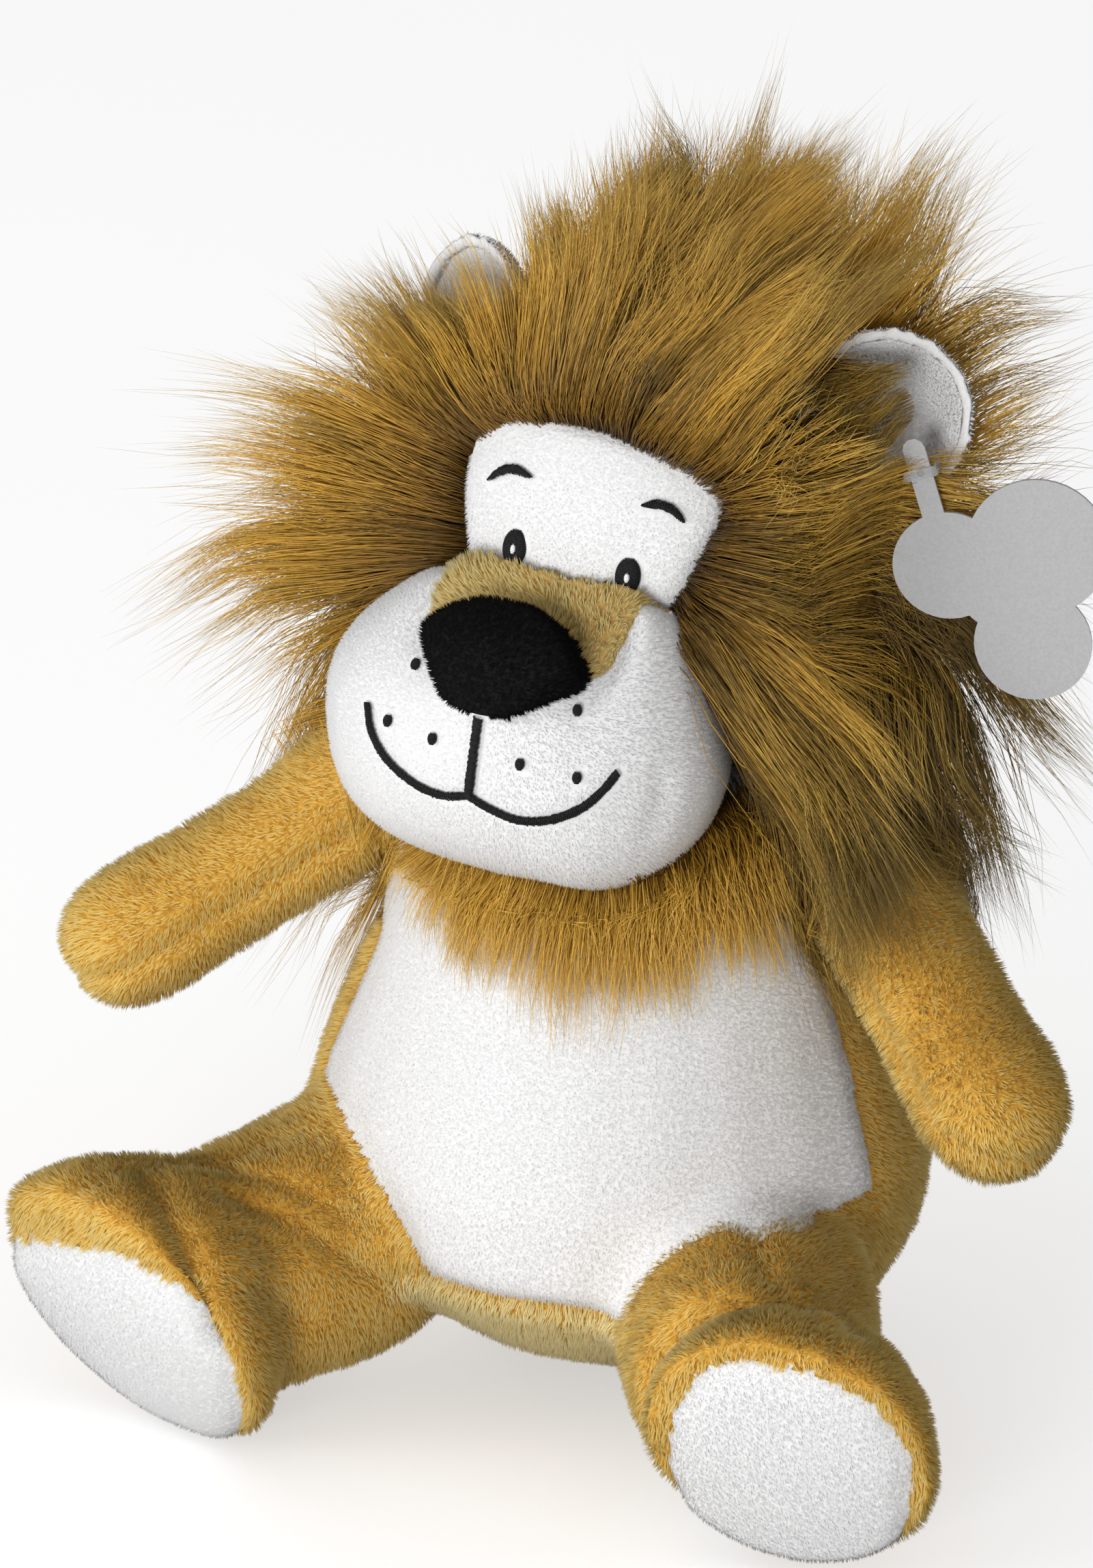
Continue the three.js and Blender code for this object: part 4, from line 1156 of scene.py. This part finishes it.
ear_tuft_count = 1000
ear_tuft_locks = 26
beard_count = 4000
beard_locks = 60
beard_height = (126 * mm, 138 * mm)
beard_cover = [(0.5, -0.8, 0.3), (0, -0.95, 0.3), (-0.4, -0.85, 0.3)]   # the muzzle hides its root from there
beard_turns = np.radians([-52, -30, -10, 8, 18, 32, 48, 66])
beard_tips = np.array([112, 107, 102, 94, 91, 99, 103, 108]) * mm
tail_tuft_density = 2.6
tail_tuft_locks = 50
tail_tuft_length = (12 * mm, 27 * mm)


def bezier(a, b, c, d):
    """Hair along curves with these ends and handles."""
    t = np.linspace(0, 1, hair_steps)[None, :, None]
    return sum(point[:, None] * share for point, share in (
        (a, (1 - t) ** 3), (b, 3 * (1 - t) ** 2 * t), (c, 3 * (1 - t) * t ** 2), (d, t ** 3)))


def gather(curves, locks, rng, *, hold, power, spread, sway=0.0, lengths=(1, 1)):
    """Draws hair together into a number of locks, which sway aside and differ in length, towards the tips."""
    total, steps = curves.shape[:2]
    picked = rng.choice(total, int(np.clip(locks, 4, total)), replace=False)
    tree = nearest_tree(curves[picked, 0])
    mine = np.array([tree.find(point)[1] for point in curves[:, 0].tolist()])
    t = np.linspace(0, 1, steps)[None, :, None]
    lead = trimmed(curves[picked], rng.uniform(*lengths, len(picked)))
    lead = (lead + rng.normal(0, sway, (len(picked), 1, 3)) * t ** 1.5)[mine]
    pull = (rng.uniform(*hold, len(picked))[mine] * rng.uniform(0.7, 1, total))[:, None, None] * t ** power
    return curves * (1 - pull) + (lead + rng.normal(0, spread, (total, 1, 3)) * t) * pull, mine


def frizzed(curves, seed, *, rough, fine):
    """Waves in the hair that grow towards the tips."""
    t = np.linspace(0, 1, curves.shape[1])[None, :, None]
    rng = np.random.default_rng(seed)
    own = curves + rng.uniform(-2 * mm, 2 * mm, (len(curves), 1, 3))
    waves = wander(own.reshape(-1, 3), 15 * mm, seed + 1) * rough
    waves += wander((own * 1.7).reshape(-1, 3), 7 * mm, seed + 2) * fine
    return curves + waves.reshape(curves.shape) * t


def trimmed(curves, share):
    """Each hair cut, or drawn on, to its share of the length."""
    steps = curves.shape[1]
    place = np.linspace(0, 1, steps)[None, :] * share[:, None] * (steps - 1)
    low = np.clip(np.floor(place).astype(int), 0, steps - 2)
    rest = (place - low)[:, :, None]
    row = np.arange(len(curves))[:, None]
    return curves[row, low] * (1 - rest) + curves[row, low + 1] * rest


def drawn_in(curves):
    """Hair that is drawn in where it would reach too far."""
    curves = curves.copy()
    for axis, way, limit in hair_limits:
        over = np.maximum(curves[..., axis] * way - limit, 0)
        curves[..., axis] -= way * (over - limit_softness * (1 - np.exp(-over / limit_softness)))
    return curves


def push_out(curves, tree, clearance, below):
    """Keeps hair on the outside of a skin."""
    flat = curves.reshape(-1, 3)
    room = np.repeat(clearance, curves.shape[1])
    step = np.tile(np.arange(curves.shape[1]), len(curves))
    for i in np.flatnonzero((flat[:, 2] < below) & (step > 0)):
        place, normal, _, _ = tree.find_nearest(flat[i].tolist(), 30 * mm)
        if place is None:
            continue
        outside = (flat[i] - np.array(place)) @ np.array(normal)
        wanted = room[i] * min(1, step[i] / 3)
        if outside < wanted:
            flat[i] += np.array(normal) * (wanted - outside)
    return flat.reshape(curves.shape)


def disc_of(names):
    """Middle, facing direction, upward direction, radius and half thickness of a flat thing."""
    points, _ = node_mesh(names)
    low, high = points.min(0), points.max(0)
    centre = (low + high) / 2
    _, _, axes = np.linalg.svd(points - points.mean(0), full_matrices=False)
    normal = axes[2] if axes[2][1] < 0 else -axes[2]
    up = unit(tangential(-down, normal))
    return centre, normal, up, np.ptp((points - centre) @ up) / 2, np.ptp((points - centre) @ normal) / 2


def ear_disc(name):
    """An ear as a disc where it is sewn on."""
    centre, normal, up, radius, half = disc_of([f"ear_{name}_front", f"ear_{name}_back"])
    return centre + down * ear_drop[name], normal, up, radius, half


def reach(direction):
    """How far hair reaches from the middle of the head."""
    share = np.interp(np.arctan2(direction @ cam_up, direction @ cam_right), reach_turns, reach_shares)
    share = 1 + (share - 1) * (1 - (direction @ cam_back) ** 2)
    return share / np.linalg.norm(direction / np.where(direction < 0, *hair_reach), axis=-1)


def parted(aim, root):
    """Hair in front of the left ear is combed up or down past it."""
    place, normal, _, _, half = ear_disc("left")
    ahead = (root - place) @ normal > -half
    across = unit(tangential(place - head_centre, head_front))
    over = np.cross(across, head_front)
    over = over * np.sign(over[2])
    side, rise = aim @ across, aim @ over
    angle = np.arctan2(rise, side)
    gap = np.where(angle > 0, *ear_gap)
    wanted = np.sign(angle) * (gap + np.abs(angle) * (ear_fan - gap) / ear_fan)
    move = np.where(ahead & (np.abs(angle) < ear_fan), wanted - angle, 0)
    new_side = side * np.cos(move) - rise * np.sin(move)
    new_rise = side * np.sin(move) + rise * np.cos(move)
    return dot(aim, head_front) * head_front + new_side[:, None] * across + new_rise[:, None] * over


def clear_ear(curves, name):
    """Hair passes behind an ear, and True for hair that doesn't hang before the ear's bare part."""
    centre, normal, up, radius, half = ear_disc(name)
    bare, lean = ear_bare[name]
    up = unit(up + lean * np.cross(normal, up))
    offset = curves - centre
    depth = offset @ normal
    flat = offset - depth[..., None] * normal
    out = np.linalg.norm(flat, axis=2)
    near = smoothstep(radius + 7 * mm, radius + 1 * mm, out)
    behind = (depth[:, 0] < 0)[:, None]
    back = np.minimum(depth, -(half + 1 * mm) * near + depth * (1 - near))
    front = np.maximum(depth, (half * 0.5) * near + depth * (1 - near))
    moved = np.where(behind, back, front)
    before = ~behind & (out < radius + 1.5 * mm) & (flat @ up > bare * radius) & (depth < 45 * mm)
    return centre + flat + moved[..., None] * normal, ~before.any(1)


def off_the_face(curves, rng):
    """True for hair that leaves the face and the gap under the arm free, and for a stray few."""
    flat = curves.reshape(-1, 3)
    crosses = np.zeros(len(flat), bool)
    for node, outline in (("face_panel", face_outline_px), ("muzzle_panel", muzzle_outline_px)):
        before = (flat - middle_of(node)) @ cam_back > -4 * mm
        crosses |= before & (outline_depth(flat, outline) > face_overlap_px[node])
    in_gap = (outline_depth(flat, arm_gap_px) > 0).reshape(len(curves), -1).any(1)
    in_gap &= rng.random(len(curves)) > gap_share
    stray = rng.random(len(curves)) < stray_share
    return (~crosses.reshape(len(curves), -1).any(1) | stray) & ~in_gap


def keep_behind_tag(curves, rng):
    """Hair stays behind the hanging card."""
    centre, normal, _, radius, half = disc_of(["hang_tag"])
    offset = curves - centre
    depth = offset @ normal
    out = np.linalg.norm(offset - depth[..., None] * normal, axis=2)
    near = smoothstep(radius + 9 * mm, radius + 2 * mm, out)
    limit = -(half + rng.uniform(1 * mm, 5 * mm, len(curves)))[:, None]
    return curves + (np.minimum(depth, limit * near + depth * (1 - near)) - depth)[..., None] * normal


def hair_pieces(name, curves, tone, radius, seed):
    """Hair as pieces that each hold only so many strands."""
    count = max(1, math.ceil(len(curves) / hair_most))
    for k, part in enumerate(np.array_split(np.arange(len(curves)), count)):
        piece = strands(f"{name}_hair_{k + 1}", curves[part], radius[part], tone[part], mane_hair, seed + k)
        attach(piece, "head")


def mane_regions(scalp):
    """For each face of the scalp, the place in the list of the frame's node over it."""
    names = mane_nodes + ("face_panel", "muzzle_panel", "bridge_panel", "nose_pad")
    shown = outline_depth(scalp.middles, face_outline_px) > 22
    trees = [node_tree([name]) for name in names]
    region = np.full(len(scalp.middles), len(names))
    for i, (middle, normal) in enumerate(zip(scalp.middles, scalp.face_normals)):
        gaps = []
        for tree in trees:
            hit = tree.ray_cast((middle - normal * 1.5 * mm).tolist(), normal.tolist(), 12 * mm)
            gaps.append(hit[3] if hit[0] is not None else 1)
        if min(gaps) < 1:
            region[i] = gaps.index(min(gaps))
        if region[i] == names.index("face_panel") and not shown[i]:
            gaps = [tree.find_nearest(middle.tolist())[3] for tree in trees[:len(mane_nodes)]]
            region[i] = gaps.index(min(gaps))
    return region


def mane_scalp():
    """The skin under the mane, each face's node and how near to the face's edge it is."""
    scalp = fused(["head_stuffing"], voxel=1.8 * mm, rounds=6)
    region = mane_regions(scalp)
    rim = seam_distance(scalp, region < len(mane_nodes))
    before = scalp.normals @ cam_back > -0.1
    outside = smoothstep(8, -14, outline_depth(scalp.points, face_outline_px))
    scalp.swell(3 * mm * np.where(before, outside, 1))

    offset = scalp.points - head_centre
    away = np.linalg.norm(offset, axis=1)
    room = np.maximum(reach(offset / away[:, None]) - away, 0)
    ears = [middle_of(f"ear_{name}_front") for name in side_names]
    clear = np.min([np.linalg.norm(scalp.points - ear, axis=1) for ear in ears], axis=0)
    fill = dark_fill_share * smoothstep(4 * mm, 30 * mm, rim) * smoothstep(16 * mm, 40 * mm, clear)
    place, normal, _, radius, _ = disc_of(["hang_tag"])
    aside = np.linalg.norm(tangential(scalp.points - place, normal), axis=1)
    below_tag = smoothstep(radius + 22 * mm, radius, aside)
    most, least = dark_fill_at_tag
    scalp.swell(np.minimum(room * fill, np.where(below_tag > 0, most - (most - least) * below_tag, far)))
    return scalp, region, smoothstep(20 * mm, 10 * mm, rim)[scalp.quads].mean(1)


def hair_aims(root, rng):
    """The way that each hair heads from the middle of the head, and how low on the head it grows."""
    offset = root - head_centre
    axial = dot(offset, head_front)
    radial = unit(offset - head_front * axial)
    tilt = np.arcsin(np.clip(axial / np.linalg.norm(offset, axis=1, keepdims=True), -1, 1))
    tilt = np.maximum(np.where(tilt > 0, tilt * 0.45, tilt * 1.1) - 0.05, -1.35)
    aim = radial * np.cos(tilt) + head_front * np.sin(tilt)
    aim = unit(aim + wander(root, 22 * mm, 50) * 0.3 + rng.normal(0, 0.06, (len(root), 3)))
    return parted(aim, root), smoothstep(0.3, -0.45, radial[:, 2])[:, None]


def mane_locks(root, normal, area, seed, rng):
    """Hair in locks. Returns the curves, which are wisps and how pale each is."""
    total = len(root)
    aim, low = hair_aims(root, rng)
    tip = head_centre + aim * (reach(aim) * rng.uniform(0.9, 1.03, total))[:, None]
    tip = tip + down * (hair_droop[0] + hair_droop[1] * low)
    size = np.linalg.norm(tip - root, axis=1, keepdims=True)
    start = unit(normal * 0.9 + aim + rng.normal(0, 0.2, (total, 3)))
    end = unit(aim + down * (0.1 + 0.9 * low))
    curves = bezier(root, root + start * size * 0.34, tip - end * size * 0.3, tip)
    locks, mine = gather(curves, area / lock_area, rng, hold=(0.55, 1), power=0.9, spread=1.5 * mm,
                         sway=11 * mm, lengths=(0.66, 1.16))
    kind = rng.random(total)
    under, wisp = kind < under_share, kind > 1 - wisp_share
    locks = np.where(wisp[:, None, None], (curves + locks) / 2, locks)
    curves = np.where(under[:, None, None], curves, locks)
    curves, _ = gather(curves, area / tuft_area, rng, hold=(0.3, 0.85), power=1.1, spread=0.5 * mm)
    share = np.where(wisp, rng.uniform(1.0, 1.22, total), rng.uniform(0.66, 1.03, total))
    curves = trimmed(curves, np.where(under, rng.uniform(0.35, 0.7, total), share))
    curves = drawn_in(frizzed(curves, seed, rough=2.6 * mm, fine=0.9 * mm))
    # Each lock's own tone, with painted shade on the short hair beneath the locks
    tone = rng.normal(0, 0.15, mine.max() + 1)[mine] - 0.35 * under
    # Painted shade: hair on the lion's left, below the head's middle, is made darker
    aside, height = (root - head_centre)[:, [0, 2]].T
    tone = tone - painted_shade_depth * smoothstep(5 * mm, 45 * mm, aside) * smoothstep(25 * mm, -15 * mm, height)
    return curves, wisp, tone


def add_mane():
    scalp, region, near_face = mane_scalp()
    body_trees = [parts[name]["skin"].tree() for name in ("torso", "arm_left", "arm_right", "muzzle")]
    for k, name in enumerate(mane_nodes):
        faces = np.flatnonzero(region == k)
        base = thick_panel(name + "_cloth", scalp, region == k, cloth_thickness, scalp_cloth)
        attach(base, "head")
        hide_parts(name)
        rng = np.random.default_rng(40 + k)
        sparse, dense = hair_density[name]
        root, normal, _ = scatter(scalp, faces, sparse + (dense - sparse) * near_face[faces], rng)
        area = scalp.areas[faces].sum() / mm ** 2
        curves, wisp, tone = mane_locks(root, normal, area, 60 + 5 * k, rng)
        curves, left_free = clear_ear(curves, "left")
        curves, right_free = clear_ear(curves, "right")
        kept = left_free & right_free & off_the_face(curves, rng)
        wisp, root, tone, total = wisp[kept], root[kept], tone[kept], kept.sum()
        curves = keep_behind_tag(curves[kept], rng)
        clearance = rng.uniform(1 * mm, 7 * mm, total)
        for tree in body_trees:
            curves = push_out(curves, tree, clearance, head_centre[2] - 15 * mm)
        tone = 0.5 + 0.14 * wander(root, 14 * mm, 90 + k)[:, 0] + tone + rng.normal(0, 0.13, total)
        radius = hair_radius * np.where(wisp, 0.6, rng.uniform(0.7, 1.1, total)) * strand_width
        hair_pieces(name, curves, tone, radius, 100 + 10 * k)


def add_ear_tuft():
    """Dark hair that fills the lower inner half of the left ear's cup."""
    place, normal, up, radius, half = ear_disc("left")
    across = np.cross(normal, up)
    rng = np.random.default_rng(140)
    total = int(ear_tuft_count * strand_share)
    turn = rng.uniform(-0.7, 1.2, total)
    away = radius * rng.uniform(0.55, 0.98, total)
    spoke = np.cos(turn)[:, None] * across - np.sin(turn)[:, None] * up
    root = place + spoke * away[:, None] + normal * (half - 1 * mm)
    inward = unit(up * 0.55 - across * 0.7 - spoke * 0.5)
    heading = unit(inward + normal * 0.3 + rng.normal(0, 0.16, (total, 3)))
    size = rng.uniform(8 * mm, 19 * mm, total)[:, None]
    tip = root + heading * size
    curves = bezier(root, root + unit(normal * 0.8 + inward) * size * 0.4, tip - inward * size * 0.25, tip)
    curves, _ = gather(curves, ear_tuft_locks, rng, hold=(0.3, 0.9), power=1.1, spread=0.8 * mm,
                       sway=3 * mm, lengths=(0.7, 1.1))
    curves = frizzed(curves, 141, rough=2 * mm, fine=0.8 * mm)
    tone = 0.14 + rng.normal(0, 0.1, total)
    hair_pieces("ear_tuft", curves, tone, hair_radius * rng.uniform(0.6, 1, total) * strand_width, 142)


def add_beard():
    """Fringe of hair that hangs from under the muzzle over the chest."""
    skin = fused(["beard"], voxel=1.6 * mm, rounds=3)
    torso, muzzle = [parts[name]["skin"].tree() for name in ("torso", "muzzle")]
    top = skin.points[:, 2].max()
    base_faces = skin.middles[:, 2] > top - 12 * mm
    skin.swell(-4 * mm)
    for i in np.flatnonzero(base_faces):
        for way in beard_cover:
            base_faces[i] &= muzzle.ray_cast(skin.middles[i].tolist(), way)[0] is not None
    base = thick_panel("beard_cloth", skin, base_faces, cloth_thickness, scalp_cloth)
    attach(base, "head")
    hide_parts("beard")
    rng = np.random.default_rng(150)
    total = int(beard_count * strand_share)
    turn = rng.uniform(beard_turns[0], beard_turns[-1], total)
    height = rng.uniform(*beard_height, total)
    outward = np.stack([np.sin(turn), -np.cos(turn), np.zeros(total)], 1)
    root = []
    for start, way in zip(outward * 90 * mm - down * height[:, None], -outward):
        root.append(torso.ray_cast(start.tolist(), way.tolist())[0])
    root = np.array(root) + outward * rng.uniform(0.5 * mm, 3 * mm, (total, 1))
    size = (height - np.interp(turn, beard_turns, beard_tips)) * rng.uniform(0.5, 1.4, total)
    heading = unit(down + outward * 0.16 + rng.normal(0, 0.1, (total, 3)))
    tip = root + heading * size[:, None]
    size = size[:, None]
    curves = bezier(root, root + unit(outward + down * 0.8) * size * 0.3, tip - down * size * 0.3, tip)
    curves, mine = gather(curves, beard_locks, rng, hold=(0.3, 0.9), power=1.1, spread=1.2 * mm,
                          sway=3.5 * mm, lengths=(0.7, 1.1))
    curves = frizzed(curves, 151, rough=3 * mm, fine=1.2 * mm)
    clearance = rng.uniform(0.8 * mm, 8 * mm, total)
    for tree in (torso, muzzle):
        curves = push_out(curves, tree, clearance, top)
    tone = 0.72 + rng.normal(0, 0.12, mine.max() + 1)[mine] + rng.normal(0, 0.12, total)
    hair_pieces("beard", curves, tone, hair_radius * rng.uniform(0.55, 0.95, total) * strand_width, 160)


def add_tuft():
    """The tail's end: a bunch of hair round a small core."""
    skin = fused(["tail_tuft"], voxel=1.4 * mm, rounds=4)
    heading = unit(middle_of("tail_tuft") - pivot("tail_swing"))
    skin.swell(-6.5 * mm)
    base = mesh_object("tail_tuft_cloth", skin.points, skin.quads, scalp_cloth)
    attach(base, "tail")
    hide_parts("tail_tuft")
    rng = np.random.default_rng(170)
    root, normal, _ = scatter(skin, np.arange(len(skin.middles)), tail_tuft_density, rng)
    way = unit(heading + normal * 0.35 + rng.normal(0, 0.08, root.shape))
    length = rng.uniform(*tail_tuft_length, len(root))
    tip = root + way * length[:, None] + down * 2 * mm
    curves = bezier(root, root + (tip - root) * 0.33, root + (tip - root) * 0.67, tip)
    curves, _ = gather(curves, tail_tuft_locks, rng, hold=(0.4, 0.9), power=1.2, spread=0.8 * mm)
    curves = drawn_in(frizzed(curves, 171, rough=2 * mm, fine=0.8 * mm))
    curves[:, :, 2] = np.maximum(curves[:, :, 2], 0.4 * mm)
    tone = 0.5 + rng.normal(0, 0.15, len(root))
    radius = np.full(len(root), hair_radius * strand_width)
    piece = strands("tail_tuft_hair", curves, radius, tone, mane_hair, 172)
    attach(piece, "tail")


def add_tag():
    """The card and its strap keep the frame's shape, with softened edges."""
    for node, material, width in (("hang_tag", paper_material(), 0.12 * mm),
                                  ("tag_strap", strap_material(), 0.1 * mm)):
        piece = frame["nodes"][node]
        piece.data.materials.clear()
        piece.data.materials.append(material)
        weld = piece.modifiers.new("weld", "WELD")
        weld.merge_threshold = 0.001 * mm
        bevel = piece.modifiers.new("soft_edges", "BEVEL")
        bevel.width = width
        bevel.segments = 2
        bevel.limit_method = "ANGLE"


# Floor, lamps and world
floor_half = 6
floor_glow = 0.5                # seen by the camera alone, so that the floor renders nearly white
world_light = 0.44
lamps = {  # place, size and watts
    "key": ((-1.45, -1.8, 0.5), 1.0, 16.5), "front": ((0.2, -2.0, 0.33), 0.64, 18.5)}


def by_camera_ray(tree, socket, lit, seen):
    """Gives a socket one value for the light on the lion and another for what the camera sees."""
    path = tree.nodes.new("ShaderNodeLightPath")
    level = tree.nodes.new("ShaderNodeMapRange")
    level.inputs["To Min"].default_value = lit
    level.inputs["To Max"].default_value = seen
    tree.links.new(path.outputs["Is Camera Ray"], level.inputs["Value"])
    tree.links.new(level.outputs[0], socket)


def add_floor():
    corners = np.array([[-1, -1, 0], [1, -1, 0], [1, 1, 0], [-1, 1, 0]]) * floor_half
    material, tree, shader = node_material("floor", {
        "Base Color": (0.88, 0.88, 0.88, 1), "Roughness": 1, "Specular IOR Level": 0,
        "Emission Color": (1, 1, 1, 1)})
    by_camera_ray(tree, shader.inputs["Emission Strength"], 0, floor_glow)
    floor = mesh_object("floor", corners, np.array([[0, 1, 2, 3]]), material)


def add_lamp(name, place, size, power):
    data = bpy.data.lights.new(name, "AREA")
    data.shape = "DISK"
    data.size = size
    data.energy = power
    lamp = bpy.data.objects.new(name, data)
    lamp.location = place
    lamp.rotation_mode = "QUATERNION"
    aim = Vector(target) - Vector(place)
    lamp.rotation_quaternion = aim.to_track_quat("-Z", "Y")
    bpy.context.scene.collection.objects.link(lamp)


def add_world():
    world = bpy.data.worlds.new("studio")
    bpy.context.scene.world = world
    world.use_nodes = True
    background = world.node_tree.nodes["Background"]
    background.inputs[0].default_value = (1, 1, 1, 1)
    by_camera_ray(world.node_tree, background.inputs[1], world_light, 1.0)


add_camera()
add_torso()
add_arms()
add_legs()
face_skin = add_head()
muzzle_skin = add_muzzle()
add_ears()
add_tail()
add_embroidery(face_skin, muzzle_skin)
for part in parts.values():
    finish_part(**part)
add_mane()
add_ear_tuft()
add_beard()
add_tuft()
add_tag()
for node, slot_name in slots.items():
    if slot_name == "fibre_fill":
        body = next(name for name, nodes in nodes_of.items() if node in nodes)
        add_filling(node, body)

add_floor()
for name, lamp in lamps.items():
    add_lamp(name, *lamp)
add_world()
bpy.context.scene.view_settings.view_transform = "Standard"
